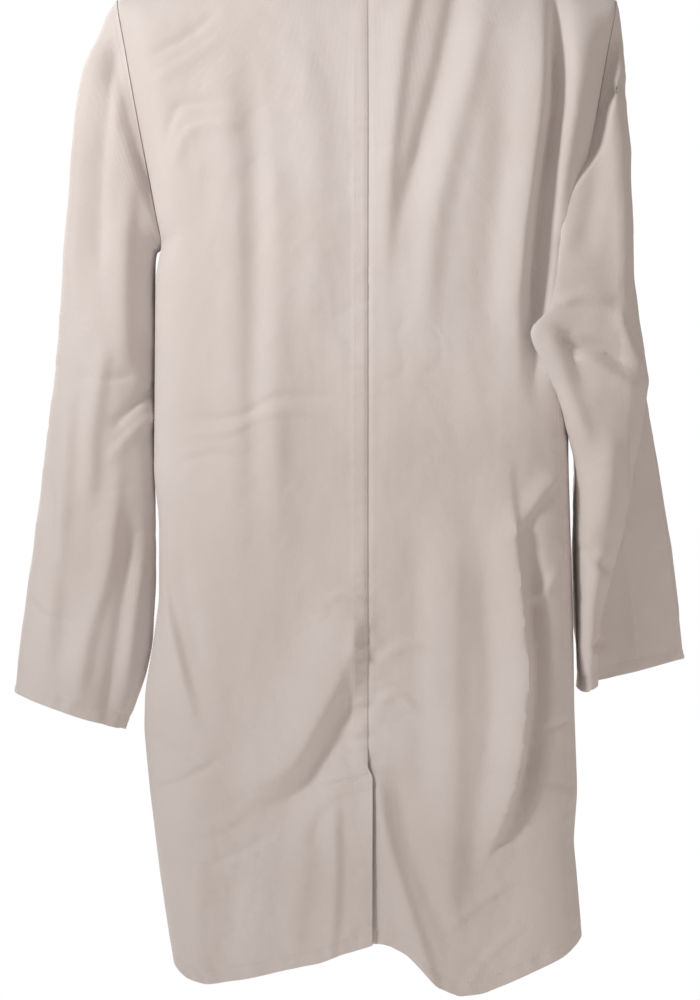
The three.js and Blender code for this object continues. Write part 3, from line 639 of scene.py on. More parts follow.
def new_finish(name):
    finish = bpy.data.materials.new(name)
    finish.use_nodes = True
    finish.node_tree.nodes.clear()
    return finish, finish.node_tree


def finish_with(tree, base, bump, **values):
    """The shader of a finish. Values that are the same all over go straight onto its sockets."""
    plain = {name.replace("_", " "): value for name, value in values.items()}
    shader = node(tree, "ShaderNodeBsdfPrincipled", plain)
    tree.links.new(base, shader.inputs["Base Color"])
    if bump is not None:
        tree.links.new(bump, shader.inputs["Normal"])
    node(tree, "ShaderNodeOutputMaterial", {"Surface": shader.outputs["BSDF"]})


def woven_finish(name, light, dark, thread, roughness):
    """Plain-woven cotton and polyester, matt with a faint bloom. The real threads are 0.35 mm apart;
    they are drawn coarser, 1.1 mm apart, so that they still show from two metres away. The eye gets the
    colour of washed white cloth, a little warm, with slow patches of wear."""
    finish, tree = new_finish(name)
    grain = node(tree, "ShaderNodeUVMap", uv_map="grain").outputs["UV"]
    threads_per_period = 20 / (2 * math.pi)  # the wave node's own factor
    scale = 1 / (thread * MM * threads_per_period)
    warp = node(tree, "ShaderNodeTexWave", {"Vector": grain, "Scale": scale, "Distortion": 1.2,
                                            "Detail": 1.0}, bands_direction="X")
    weft = node(tree, "ShaderNodeTexWave", {"Vector": grain, "Scale": scale, "Distortion": 1.2,
                                            "Detail": 1.0}, bands_direction="Y")
    weave = node(tree, "ShaderNodeMath", {0: warp.outputs["Fac"], 1: weft.outputs["Fac"]}, operation="ADD")
    slub = node(tree, "ShaderNodeTexNoise", {"Vector": grain, "Scale": 420.0, "Detail": 3.0})
    weave = node(tree, "ShaderNodeMath", {0: slub.outputs["Fac"], 1: 1.6, 2: weave.outputs[0]},
                 operation="MULTIPLY_ADD")
    fine = node(tree, "ShaderNodeBump", {"Height": weave.outputs[0], "Strength": 0.4, "Distance": 0.0003})
    limp = node(tree, "ShaderNodeTexNoise", {"Vector": grain, "Scale": 75.0, "Detail": 2.0})
    soft = node(tree, "ShaderNodeBump", {"Height": limp.outputs["Fac"], "Strength": 0.25,
                                         "Distance": 0.0012, "Normal": fine.outputs["Normal"]})
    pressed = node(tree, "ShaderNodeTexNoise", {"Vector": grain, "Scale": 17.0, "Detail": 3.0,
                                                "Roughness": 0.45, "Distortion": 0.6},
                   noise_type="RIDGED_MULTIFRACTAL")
    soft = node(tree, "ShaderNodeBump", {"Height": pressed.outputs["Fac"], "Strength": 0.3,
                                         "Distance": 0.0016, "Normal": soft.outputs["Normal"]})
    place = node(tree, "ShaderNodeTexCoord").outputs["Object"]
    wear = node(tree, "ShaderNodeTexNoise", {"Vector": place, "Scale": 5.0, "Detail": 2.0})
    patches = node(tree, "ShaderNodeMapRange", {"Value": wear.outputs["Fac"], "From Min": 0.35,
                                                "From Max": 0.65})
    base = node(tree, "ShaderNodeMix", {"Factor": patches.outputs["Result"], "A": colour(dark),
                                        "B": colour(light)}, data_type="RGBA")
    thin = node(tree, "ShaderNodeMath", {0: slub.outputs["Fac"], 1: 0.10}, operation="MULTIPLY")
    flecks = node(tree, "ShaderNodeMix", {"Factor": thin.outputs[0], "A": base.outputs["Result"],
                                          "B": colour("#FFFFFF")}, data_type="RGBA")
    finish_with(tree, flecks.outputs["Result"], soft.outputs["Normal"], Roughness=roughness, IOR=1.45,
                Specular_IOR_Level=0.25, Sheen_Weight=0.12, Sheen_Roughness=0.5)
    return finish


def thread_finish():
    """Spun polyester sewing thread, white and slightly glossier than the cloth, a little greyed."""
    finish, tree = new_finish("spun polyester thread")
    place = node(tree, "ShaderNodeTexCoord").outputs["Object"]
    twist = node(tree, "ShaderNodeTexWave", {"Vector": place, "Scale": 500.0}, bands_direction="DIAGONAL")
    base = node(tree, "ShaderNodeMix", {"Factor": twist.outputs["Fac"], "A": colour("#E3DCD8"),
                                        "B": colour("#EFEAE7")}, data_type="RGBA")
    finish_with(tree, base.outputs["Result"], None, Roughness=0.6, IOR=1.5, Sheen_Weight=0.1)
    return finish


def enamel_finish():
    """Baked white enamel on the stud caps: smooth, fairly glossy, with faint waviness."""
    finish, tree = new_finish("white enamel")
    place = node(tree, "ShaderNodeTexCoord").outputs["Object"]
    speck = node(tree, "ShaderNodeTexNoise", {"Vector": place, "Scale": 900.0, "Detail": 2.0})
    base = node(tree, "ShaderNodeMix", {"Factor": speck.outputs["Fac"], "A": colour("#E2DDD5"),
                                        "B": colour("#F1EEE8")}, data_type="RGBA")
    bump = node(tree, "ShaderNodeBump", {"Height": speck.outputs["Fac"], "Strength": 0.05,
                                         "Distance": 0.0001})
    finish_with(tree, base.outputs["Result"], bump.outputs["Normal"], Roughness=0.28, IOR=1.5,
                Coat_Weight=0.4, Coat_Roughness=0.12)
    return finish


def nickel_finish():
    """Nickel-plated pressed steel: bright, with the fine rings of pressing and slight handling marks."""
    finish, tree = new_finish("nickel plate")
    place = node(tree, "ShaderNodeTexCoord").outputs["Object"]
    marks = node(tree, "ShaderNodeTexNoise", {"Vector": place, "Scale": 700.0, "Detail": 4.0})
    base = node(tree, "ShaderNodeMix", {"Factor": marks.outputs["Fac"], "A": colour("#9C9B99"),
                                        "B": colour("#BDBBB6")}, data_type="RGBA")
    bump = node(tree, "ShaderNodeBump", {"Height": marks.outputs["Fac"], "Strength": 0.1,
                                         "Distance": 0.0001})
    finish_with(tree, base.outputs["Result"], bump.outputs["Normal"], Roughness=0.3, Metallic=1.0,
                IOR=2.5)
    return finish


FINISHES = {}


def finish(key):
    return FINISHES[key]


# ---------------------------------------------------------------- back
def vent_edge(drop, side):
    """x of a back panel's middle edge: the seam, and the free edge of its vent flap below."""
    open_share = smooth((drop - VENT_TOP + 6) / 12)
    lap = VENT_LAP if side > 0 else VENT_UNDERLAP
    return lerp(-SEAM_LAP if side > 0 else SEAM_ALLOWANCE, -side * lap, open_share)


def back_grid(side, rows=None, inset=0.0, relief=True):
    """The outer face of one back panel. rows is how far above the hem it starts, for a hem strip."""
    def section(share):
        x = side * along(SIDE[side], WAIST_DROP) * share
        drops = np.full(share.shape, float(WAIST_DROP))
        return np.stack([x, back_depth(x, drops, side)], axis=-1)

    shares = even_shares(section, 88)
    top = top_drop(SHOULDER_HALF * shares)
    bottom = np.full(shares.shape, HEM_DROP)
    for _ in range(4):  # the hem's drop depends on x, and x on the drop
        x = lerp(vent_edge(bottom, side), side * along(SIDE[side], bottom), shares)
        bottom = along(HEM, x, 4)
    if rows is not None:
        top = bottom - rows
        bottom = bottom - 0.4
    count = 345 if rows is None else 6
    drop = down_rows(top, bottom, count)
    x = lerp(vent_edge(drop, side), side * along(SIDE[side], drop), shares[None, :])
    depth = back_depth(np.where(side * x < 0, 0, x), drop, side)
    if relief:
        depth = depth + back_relief(x, drop, side)
        edge = along(HEM, x, 4) - drop
        run = x + 0.3 * drop
        depth = depth + hem_marks(edge, run, 15) * (edge < HEM_REACH)
    if side < 0:  # the underlap hangs inside the overlap
        tucked = smooth((x + 18) / 14) * smooth((drop - VENT_TOP + 24) / 18)
        depth = depth - VENT_STEP * tucked - 1.6 * smooth((x + 2.6) / 2.6)
    else:  # the overlap's free edge stands off a little, and curls
        off = smooth((12 - x) / 12) * smooth((drop - VENT_TOP) / 40)
        depth = depth + 1.2 * off
    return np.stack([x, depth - inset, -drop], axis=-1)


def back_panel(side):
    word = HALVES[side]
    points = back_grid(side)
    panel = cloth(f"back_{word}", points, finish("cloth"))
    strip = back_grid(side, rows=HEM_TURN, inset=CLOTH + INNER_GAP)
    hem = cloth(f"back_hem_{word}", strip, finish("trim"), TRIM)
    flap = "vent_overlap" if side > 0 else "vent_underlap"
    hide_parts(f"back_{word}", flap)
    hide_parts(f"back_hem_{word}")
    for piece, material_slot in ((panel, "coat_cloth"), (hem, "trim_cloth")):
        follow(piece, HELD[side]["back"])
    back_grid(side, relief=False)
    height = -points[-1, :, 2] + points[0, :, 2]
    columns = np.arange(points.shape[1], dtype=float)
    rows = len(points) - 1
    lines = [seam_line(points, rows * (1 - HEM_STITCH / height), columns)]
    seam_rows = np.arange(6, rows * 0.795, 0.9)
    widths = np.abs(points[:, :, 0])
    for distance in (2.6, 12.2) if side > 0 else (2.8,):
        place = np.array([np.interp(distance, widths[int(r)], columns) for r in seam_rows])
        lines.append(seam_line(points, seam_rows, place))
    side_rows = np.arange(rows * 0.27, rows * 0.985, 0.9)
    for distance in (1.0, 3.6) if side > 0 else (6.5, 14.0):
        place = np.array([np.interp(np.abs(points[int(r), -1, 0]) - distance, widths[int(r)][20:],
                                    columns[20:]) for r in side_rows])
        lines.append(seam_line(points, side_rows, place))
    if side > 0:  # the slanted bar at the head of the vent
        for lower in (0, 5):
            bar = [(38, 879 + lower), (18, 872 + lower), (-2, 866)]
            lines.append(marked(points, curve_through(bar, 40)))
    SEWN.append((f"back_{word}", HELD[side]["back"], lines))


# ---------------------------------------------------------------- fronts
def roll_drop(half):
    """Drop of the line that the lapel and the collar turn on."""
    share = np.clip((NECK_HALF - half) / (NECK_HALF + OVERLAP), 0, 1)
    return lerp(3, BREAK_DROP, share)


def front_grid(side, relief=True):
    """The outer face of a front, from its side seam to its free edge."""
    def section(share):
        half = lerp(-OVERLAP, along(SIDE[side], WAIST_DROP), 1 - share)
        drops = np.full(share.shape, float(WAIST_DROP))
        return np.stack([half, front_depth(half, drops, side, False)], axis=-1)

    shares = 1 - even_shares(section, 96)
    top = np.full(shares.shape, 60.0)
    for _ in range(6):
        half = lerp(-OVERLAP, np.interp(top, *np.array(SIDE[side], float).T), shares)
        top = np.where(half < NECK_HALF, roll_drop(half), top_drop(half) + 0.3)
    bottom = np.full(shares.shape, HEM_DROP - 1)
    for _ in range(3):
        half = lerp(-OVERLAP, along(SIDE[side], bottom), shares)
        corner = along(HEM, side * along(SIDE[side], bottom), 4)
        bottom = lerp(HEM_DROP - 1, corner, smooth((shares - 0.55) / 0.45))
    drop = down_rows(top, bottom, 330)
    half = lerp(-OVERLAP, along(SIDE[side], drop), shares[None, :])
    depth = front_depth(half, drop, side, relief)
    if relief:
        edge = HEM_DROP - 1 - drop
        depth = depth - hem_marks(edge, half, 19) * (edge < HEM_REACH)
        near_edge = half + OVERLAP
        depth = depth + 0.25 * np.exp(-(((near_edge - 6) / 1.5) ** 2))
    return np.stack([side * half, depth, -drop], axis=-1)


def front_panel(side):
    word = HALVES[side]
    points = front_grid(side)
    panel = cloth(f"front_{word}", points, finish("cloth"))
    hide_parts(f"front_{word}", f"front_side_{word}")
    follow(panel, HELD[side]["whole_front"])
    columns = np.arange(points.shape[1], dtype=float)
    rows = len(points) - 1
    height = points[0, :, 2] - points[-1, :, 2]
    halves = side * points[rows // 2, :, 0]
    lines = [seam_line(points, rows * (1 - HEM_STITCH / height), columns)]
    down = np.arange(2, rows - 1, 0.9)
    for inset in (6, 52):
        column = np.interp(-(inset - OVERLAP), -halves, columns)
        lines.append(seam_line(points, down, np.full(down.shape, column)))
    SEWN.append((f"front_{word}", HELD[side]["whole_front"], lines))
    facing = front_facing(side)
    front_grid(side, False)


def patch(corners, count, side, lift):
    """A grid on a front: corners are its top and bottom lines as [half, drop] points, lift(u, v) how far
    each point stands off the front's face."""
    top, bottom = (np.array(line, float) for line in corners)
    across, down = count
    u = np.linspace(0, 1, across)
    upper, lower = (
        np.stack([np.interp(u, np.linspace(0, 1, len(line)), line[:, i]) for i in (0, 1)], axis=-1)
        for line in (top, bottom))
    v = np.linspace(0, 1, down)[:, None]
    half = lerp(upper[:, 0], lower[:, 0], v)
    drop = lerp(upper[:, 1], lower[:, 1], v)
    depth = front_depth(half, drop, side) - lift(u[None, :], v)
    return np.stack([side * half, depth, -drop], axis=-1)


def front_facing(side):
    """The cloth turned to the inside along a front's free edge."""
    inner = FACING_WIDTH - OVERLAP
    free = -OVERLAP + 1
    top = [(free, BREAK_DROP + 4), (inner, BREAK_DROP - 30)]
    bottom = [(free, HEM_DROP - 6), (inner, HEM_DROP - 6)]
    points = patch([top, bottom], (16, 200), side, lambda u, v: -CLOTH - 0.5 + 0 * u * v)
    word = HALVES[side]
    piece = cloth(f"facing_{word}", points, finish("trim"), TRIM)
    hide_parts(f"facing_{word}")
    follow(piece, HELD[side]["front"])
    return piece


GORGE_INNER = (64, 45)
GORGE_OUTER = (86, 97)
LAPEL_TIP = (112, 121)


def lapel(side):
    """A lapel, turned back over the front along the roll line."""
    top = [GORGE_INNER, (75, 71), GORGE_OUTER, (99, 109), LAPEL_TIP]
    bottom = [(-OVERLAP + 1.5, BREAK_DROP - 2), (-OVERLAP + 4, BREAK_DROP - 4)]

    def lift(u, v):
        roll = 3.6 * (1 - np.exp(-7 * u)) * (1 - 0.55 * u)
        return 1.0 + (roll + 1.4 * np.sin(np.pi * v) * u) * smooth((1 - v) / 0.1)

    points = patch([top, bottom], (44, 84), side, lift)
    down_share = np.linspace(0, 1, points.shape[0])[:, None]
    across_share = np.linspace(0, 1, points.shape[1])[None, :]
    points[:, :, 0] += side * 9 * (down_share * across_share**2) * (1 - down_share)
    word = HALVES[side]
    piece = cloth(f"lapel_{word}", points, finish("cloth"))
    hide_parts(f"lapel_{word}")
    follow(piece, HELD[side]["front"])
    rows, columns = points.shape[0] - 1, points.shape[1] - 1
    across, down = np.arange(1, columns * 0.95, 0.5), np.arange(2, rows * 0.98, 0.8)
    leading = np.interp(down, [0, rows], [0.95, 0.6]) * columns
    lines = [seam_line(points, 2.2, across), seam_line(points, down, leading)]
    SEWN.append((f"lapel_{word}", HELD[side]["front"], lines))


POCKETS = {
    "hip_pocket_left": (1, 24, 148, 640, 190, 8.0),
    "hip_pocket_right": (-1, 24, 148, 640, 190, 8.0),
    "chest_pocket": (1, 34, 128, 264, 122, 5.0),
}


def pocket(name):
    """A patch pocket: slack cloth sewn on three sides, its mouth a little open."""
    side, inner, outer, drop, height, slack = POCKETS[name]
    chamfer = 8

    def lift(u, v):
        body = np.sin(np.pi * np.clip(u, 0, 1)) ** 0.8 * (1 - v**3)
        dents = crumple(u * (outer - inner), v * height, 22, 30, 5 + side)
        sag = 0.5 * dents * np.sin(np.pi * u) * (1 - v)
        lip = 0.9 * np.exp(-((v * height / 2.5) ** 2))
        return 1.0 + slack * body * (0.55 + 0.45 * np.sin(np.pi * v)) + sag + lip

    top = [(inner, drop), (outer, drop)]
    bottom = [(inner, drop + height - chamfer), (inner + chamfer, drop + height),
              (lerp(inner, outer, 0.5), drop + height), (outer - chamfer, drop + height),
              (outer, drop + height - chamfer)]
    points = patch([top, bottom], (46, 70), side, lift)
    piece = cloth(name, points, finish("cloth"))
    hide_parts(name)
    follow(piece, HELD[side]["front"])
    rows, columns = points.shape[0] - 1, points.shape[1] - 1
    across, down = np.arange(0.5, columns, 0.5), np.arange(1, rows, 0.5)
    lines = [seam_line(points, rows * 20 / height, across), seam_line(points, rows - 1.2, across)]
    lines += [seam_line(points, down, np.full(down.shape, float(edge))) for edge in (1.2, columns - 1.2)]
    SEWN.append((name, HELD[side]["front"], lines))


# ---------------------------------------------------------------- collar, stand, facing, loop and labels
def neck_point(angle, grow, height):
    half = NECK_HALF * np.cos(angle)
    depth = (NECK_BACK + SEAM_FORWARD) * np.sin(angle) - SEAM_FORWARD
    heights = height + 0 * angle
    return np.stack([half + grow * np.cos(angle), depth + grow * np.sin(angle), heights], axis=-1)


def collar_half(side):
    """Half of the collar's leaf, from the middle of the back round to its point on the front."""
    step = LAP_STEP if side > 0 else 0

    def on_front(half, drop, off):
        return [half, front_plane(drop, step) - off, -drop]

    fold = [[0, 62, 33], [32, 53, 33], [60, 33, 31], [78, 5, 27], [82, -16, 16], on_front(80, 14, 5),
            on_front(72, 30, 5), on_front(64, 45, 3)]
    middle = [[0, 74, 12], [38, 64, 12], [72, 40, 12], [94, 6, 12], [98, -16, 6], on_front(98, 18, 5),
              on_front(88, 48, 6), on_front(76, 70, 4.5)]
    edge = [[0, 84, -20], [42, 74, -17], [80, 48, -9], [103, 10, -2], [108, -15, -6], on_front(113, 24, 3),
            on_front(113, 60, 3.5), on_front(88, 97, 3)]
    curves = [curve_through(line, 110) for line in (fold, middle, edge)]
    points = np.stack([curve_through([line[i] for line in curves], 26) for i in range(110)], axis=1)
    run = np.linspace(0, 1, 110)[None, :]
    bow = 1.2 * np.sin(np.pi * np.linspace(0, 1, 26))[:, None] * np.sin(2 * np.pi * run)
    points = points + normals_of(points) * bow[:, :, None]
    points[:, :, 0] *= side
    word = HALVES[side]
    piece = cloth(f"collar_{word}", points, finish("cloth"), 1.2)
    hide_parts(f"collar_front_{word}", *(["collar_back"] if side > 0 else []))
    follow(piece, HELD[side]["collar"])
    columns = np.arange(1, 108, 0.5)
    rows = np.arange(1, 23.5, 0.4)
    lines = [seam_line(points, 23.0, columns), seam_line(points, rows, np.full(rows.shape, 107.0))]
    SEWN.append((f"collar_{word}", HELD[side]["collar"], lines))


def neck_band():
    """The stand that the collar turns over."""
    angles = np.linspace(0.06, math.pi - 0.06, 120)
    levels = np.linspace(0, 1, 14)
    grow = -1.5 - 1.5 * levels + 0.8 * np.sin(np.pi * levels)
    points = np.stack([neck_point(angles, out, lerp(31, -6, t)) for out, t in zip(grow, levels)])
    piece = cloth("collar_stand", points, finish("trim"), 1.2)
    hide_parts("collar_stand")
    follow(piece, ("coat",))
    columns = np.arange(2, 117, 0.5)
    SEWN.append(("collar_stand", ("coat",), [seam_line(points, place, columns) for place in (1.6, 11.6)]))


def neck_facing():
    """The facing inside the back of the neck."""
    shares = np.linspace(-1, 1, 60)
    half = np.abs(shares) * 44
    depth_at = np.linspace(14, 66, 30)[:, None]
    lifted = 6 * (1 - np.cos(np.pi * shares / 2))[None, :] * (depth_at > 60)
    drop = depth_at + top_drop(half)[None, :] - lifted
    depth = back_depth(np.broadcast_to(half, drop.shape), drop, 1) - CLOTH - 7
    points = np.stack([np.broadcast_to(shares * 44, drop.shape), depth, -drop], axis=-1)
    piece = cloth("back_neck_facing", points, finish("trim"), TRIM)
    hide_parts("back_neck_facing")
    follow(piece, ("coat",))
    hanger_loop()


def hanger_loop():
    """A folded tape loop, its ends sewn under the collar."""
    inset = [12, 14.5, 17, 14.5, 12]
    heights = [-12, 8, 16, 8, -12]
    halves = [-28, -22.4, 0, 22.4, 28]
    path = [[x, float(top_depth(np.array(abs(x)))) - i, z] for x, z, i in zip(halves, heights, inset)]
    line = curve_through(path, 60)
    way = np.gradient(line, axis=0)
    way /= np.linalg.norm(way, axis=1, keepdims=True)
    width = np.cross(way, np.array([0, 1, 0]))
    width /= np.linalg.norm(width, axis=1, keepdims=True)
    shares = np.linspace(-3.4, 3.4, 8)
    points = np.stack([line + width * s for s in shares])
    points[:, :, 1] += (0.5 * (1 - (shares / 3.4) ** 2))[:, None]
    piece = cloth("hanger_loop", points, finish("trim"), 0.9)
    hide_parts("hanger_loop")
    follow(piece, ("coat",))
    return piece


def label(name, corner, across, down, bow):
    """A blank woven label, bowed a little, from its top corner."""
    corner, across, down, bow = (np.array(v, float) for v in (corner, across, down, bow))
    u, v = np.linspace(0, 1, 24)[None, :, None], np.linspace(0, 1, 24)[:, None, None]
    curl = np.sin(np.pi * v) * (0.6 + 0.4 * np.cos(2 * np.pi * u)) + 0.8 * v * v
    points = corner + across * u + down * v + bow * curl
    piece = cloth(name, points, finish("label"), 0.5)
    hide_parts(name)
    follow(piece, ("coat",))


# ---------------------------------------------------------------- sleeves
def sleeve_grid(side, first, last, relief=True):
    """Rings of a sleeve between two places along its levels."""
    levels = SLEEVE[side]
    dense = curve_through(levels, 400)
    place = np.linspace(0, len(levels) - 1, 400)
    run = np.concatenate([[0], np.cumsum(np.linalg.norm(np.diff(dense[:, :4], axis=0), axis=1) / 1.4)])
    start, end = np.interp([first, last], place, run)
    count = int((end - start) / RING_STEP)
    at = np.linspace(start, end, count)
    outer_x, outer_drop, inner_x, inner_drop, middle, deep = (
        np.interp(at, run, dense[:, i])[:, None] for i in range(6))
    angle = np.linspace(0, 2 * np.pi, 104, endpoint=False)[None, :]
    share = (1 + np.cos(angle)) / 2
    half = lerp(inner_x, outer_x, share)
    drop = lerp(inner_drop, outer_drop, share)
    height = np.sin(angle)
    fuller = np.sign(height) * np.abs(height) ** 0.86
    depth = middle + deep * fuller
    behind = smooth(3 * height)
    tuck = armhole_tuck(drop, side) * np.exp(-(((at - run[0])[:, None] / 26) ** 2)) * behind
    depth = depth - tuck
    if side < 0:
        half, depth = right_layers(half, drop, depth, middle, share, height)
    points = np.stack([side * half, depth, -drop], axis=-1)
    if not relief:
        return points
    normals = outward_normals(points, True)
    folds = LEFT_SLEEVE_FOLDS if side > 0 else RIGHT_SLEEVE_FOLDS
    x = points[:, :, 0]
    rise = folded(x, drop, folds) * behind
    mirrored = 0.7 * folded(x + side * 8, drop + 26, folds) * smooth(-3 * height)
    seed = 201 if side > 0 else 233
    rise = rise + mirrored + 1.1 * worn(x + 150 * (height < 0), drop, seed)
    if last >= len(levels) - 1:  # this stretch ends at the cuff
        edge = (end - at)[:, None]
        rise = rise + hem_marks(edge, angle * 50, 23) * (edge < HEM_REACH)
    calm = smooth((at - run[0])[:, None] / 16)
    return points + normals * (rise * calm)[:, :, None]


def right_layers(half, drop, depth, middle, share, height):
    """The right sleeve hangs half turned: its near layer stands over a flat far one, and a fold at its
    elbow laps over the coat's back."""
    inner = half.min(axis=1, keepdims=True)
    outer = half.max(axis=1, keepdims=True)
    edge = along(NEAR_EDGE, drop, 12)
    edge_share = np.clip((edge - inner) / (outer - inner), 0.1, 1.0)
    below = smooth((drop - 425) / 70)
    lobe = np.sqrt(np.clip(1 - (2 * np.clip(share / edge_share, 0, 1) - 1) ** 2, 0, 1))
    near = middle + (depth.max(axis=1, keepdims=True) - middle) * lobe
    wing = middle - 26 + 9 * np.sqrt(np.clip(1 - share, 0, 1))
    layered = np.where(share < edge_share, np.maximum(near, wing), wing)
    arch = np.sqrt(np.clip(1 - share, 0, 1)) * np.sqrt(np.clip(share, 0, 1))
    front_wing = middle - 32 - 14 * arch * 2
    split = np.where(height >= 0, layered, front_wing)
    ends = smooth(np.abs(height) * 6)
    tip = middle - 28
    split = lerp(np.where(share > 0.5, tip, middle - 12), split, ends)
    depth = lerp(depth, split, below)
    reach = along(ELBOW_FOLD, drop, 6)
    quarter = np.clip(1 - np.abs(np.arccos(np.clip(2 * share - 1, -1, 1)) - 2.3) / 0.85, 0, 1)
    fold = smooth(quarter) * (height > 0)
    return half - reach * fold, depth + 0.62 * reach * fold


def sleeve(side):
    word = HALVES[side]
    last = len(SLEEVE[side]) - 1
    for part, first, end in (("upper", 0, SPLIT_LEVEL), ("lower", SPLIT_LEVEL, last)):
        points = sleeve_grid(side, first, end)
        piece = cloth(f"sleeve_{word}_{part}", points, finish("cloth"), ring=True)
        follow(piece, HELD[side][part])
        if part == "upper":
            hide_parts(*(f"sleeve_{word}_{node_name}" for node_name in ("head", "fold", "upper")))
        else:
            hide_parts(*(f"sleeve_{word}_{node_name}" for node_name in ("elbow", "lower")))
            cuff_hem(side, points)
        sleeve_grid(side, first, end, False)
        columns = np.arange(0, points.shape[1] - 1, 0.5)
        down = np.arange(1, points.shape[0] - 2, 0.9)
        rows = points.shape[0] - 1
        lines = [seam_line(points, down, np.full(down.shape, c), ring=True) for c in (50.0, 53.0)]
        round_row = 2.0 if part == "upper" else rows - 4.0
        lines.append(seam_line(points, round_row, columns, ring=True))
        SEWN.append((f"sleeve_{word}_{part}", HELD[side][part], lines))


def cuff_hem(side, points):
    """The turned hem inside a cuff."""
    word = HALVES[side]
    normals = outward_normals(points, True)
    strip = (points - normals * (CLOTH + INNER_GAP))[-6:]
    hem = cloth(f"cuff_hem_{word}", strip, finish("trim"), TRIM, ring=True)
    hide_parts(f"cuff_hem_{word}")
    follow(hem, HELD[side]["forearm"])
    return hem


# ---------------------------------------------------------------- what repeats: stitches and studs
def socket(tree, name, kind, direction="INPUT"):
    return tree.interface.new_socket(name=name, in_out=direction, socket_type=kind)


def stitch_tree():
    """Geometry nodes that set one stitch at every pitch along the lines of a mesh."""
    tree = bpy.data.node_groups.new("Row of stitches", "GeometryNodeTree")
    socket(tree, "Lines", "NodeSocketGeometry")
    for name in ("Pitch", "Length", "Thickness"):
        socket(tree, name, "NodeSocketFloat")
    socket(tree, "Thread", "NodeSocketMaterial")
    socket(tree, "Stitches", "NodeSocketGeometry", "OUTPUT")
    given = node(tree, "NodeGroupInput").outputs
    curve = node(tree, "GeometryNodeMeshToCurve", {"Mesh": given["Lines"]}).outputs["Curve"]
    spaced = node(tree, "GeometryNodeResampleCurve", {"Curve": curve, "Length": given["Pitch"]},
                  mode="LENGTH")
    bead = node(tree, "GeometryNodeMeshUVSphere", {"Segments": 6, "Rings": 4, "Radius": 0.5})
    size = node(tree, "ShaderNodeCombineXYZ", {"X": given["Thickness"], "Y": given["Thickness"],
                                               "Z": given["Length"]}).outputs[0]
    tangent = node(tree, "GeometryNodeInputTangent").outputs[0]
    turn = node(tree, "FunctionNodeAlignRotationToVector", {"Vector": tangent}, axis="Z")
    placed = node(tree, "GeometryNodeInstanceOnPoints",
                  {"Points": spaced.outputs["Curve"], "Instance": bead.outputs["Mesh"],
                   "Rotation": turn.outputs["Rotation"], "Scale": size})
    real = node(tree, "GeometryNodeRealizeInstances", {"Geometry": placed.outputs["Instances"]})
    done = node(tree, "GeometryNodeSetMaterial", {"Geometry": real.outputs["Geometry"],
                                                  "Material": given["Thread"]})
    node(tree, "NodeGroupOutput", {"Stitches": done.outputs["Geometry"]})
    return tree


def copies_tree():
    """Geometry nodes that set one copy of a turned piece at every point of a mesh."""
    tree = bpy.data.node_groups.new("Row of studs", "GeometryNodeTree")
    socket(tree, "Places", "NodeSocketGeometry")
    socket(tree, "Piece", "NodeSocketObject")
    socket(tree, "Tilt", "NodeSocketRotation")
    socket(tree, "Finish", "NodeSocketMaterial")
    socket(tree, "Studs", "NodeSocketGeometry", "OUTPUT")
    given = node(tree, "NodeGroupInput").outputs
    piece = node(tree, "GeometryNodeObjectInfo", {"Object": given["Piece"]})
    placed = node(tree, "GeometryNodeInstanceOnPoints",
                  {"Points": given["Places"], "Instance": piece.outputs["Geometry"],
                   "Rotation": given["Tilt"]})
    real = node(tree, "GeometryNodeRealizeInstances", {"Geometry": placed.outputs["Instances"]})
    done = node(tree, "GeometryNodeSetMaterial", {"Geometry": real.outputs["Geometry"],
                                                  "Material": given["Finish"]})
    node(tree, "NodeGroupOutput", {"Studs": done.outputs["Geometry"]})
    return tree


def grown(name, carrier, tree, values):
    """Runs a tree on a carrier mesh and keeps its result as a plain mesh."""
    worker = link(name, carrier)
    modifier = worker.modifiers.new("Grown", "NODES")
    modifier.node_group = tree
    for item in tree.interface.items_tree:
        if item.in_out == "INPUT" and item.name in values:
            modifier[item.identifier] = values[item.name]
    depsgraph = bpy.context.evaluated_depsgraph_get()
    mesh = bpy.data.meshes.new_from_object(worker.evaluated_get(depsgraph), depsgraph=depsgraph)
    worker.modifiers.remove(modifier)
    worker.data = mesh
    mesh.name = name
    mesh.shade_smooth()
    return worker


def lines_mesh(name, lines):
    mesh = bpy.data.meshes.new(name)
    vertices, edges = [], []
    for line in lines:
        start = len(vertices)
        vertices += (np.asarray(line) * MM).tolist()
        edges += [(start + i, start + i + 1) for i in range(len(line) - 1)]
    mesh.from_pydata(vertices, edges, [])
    return mesh


def lathe(name, profile, sides=28):
    """A piece turned about the Y axis from [radius, y] points in millimetres."""
    mesh = bpy.data.meshes.new(name)
    vertices, faces, rings = [], [], []
    for radius, y in profile:
        if radius < 1e-6:
            rings.append([len(vertices)])
            vertices.append((0, y * MM, 0))
        else:
            rings.append(list(range(len(vertices), len(vertices) + sides)))
            turns = [2 * math.pi * i / sides for i in range(sides)]
            vertices += [(radius * MM * math.cos(t), y * MM, radius * MM * math.sin(t)) for t in turns]
    for upper, lower in zip(rings, rings[1:]):
        for i in range(sides):
            j = (i + 1) % sides
            high = [upper[i % len(upper)], upper[j % len(upper)]]
            low = [lower[j % len(lower)], lower[i % len(lower)]]
            faces.append(list(dict.fromkeys(high + low)))  # a ring of one point gives triangles
    mesh.from_pydata(vertices, [], faces)
    mesh.validate()
    work = bmesh.new()
    work.from_mesh(mesh)
    bmesh.ops.recalc_face_normals(work, faces=work.faces)
    work.to_mesh(mesh)
    work.free()
    return link(name, mesh)


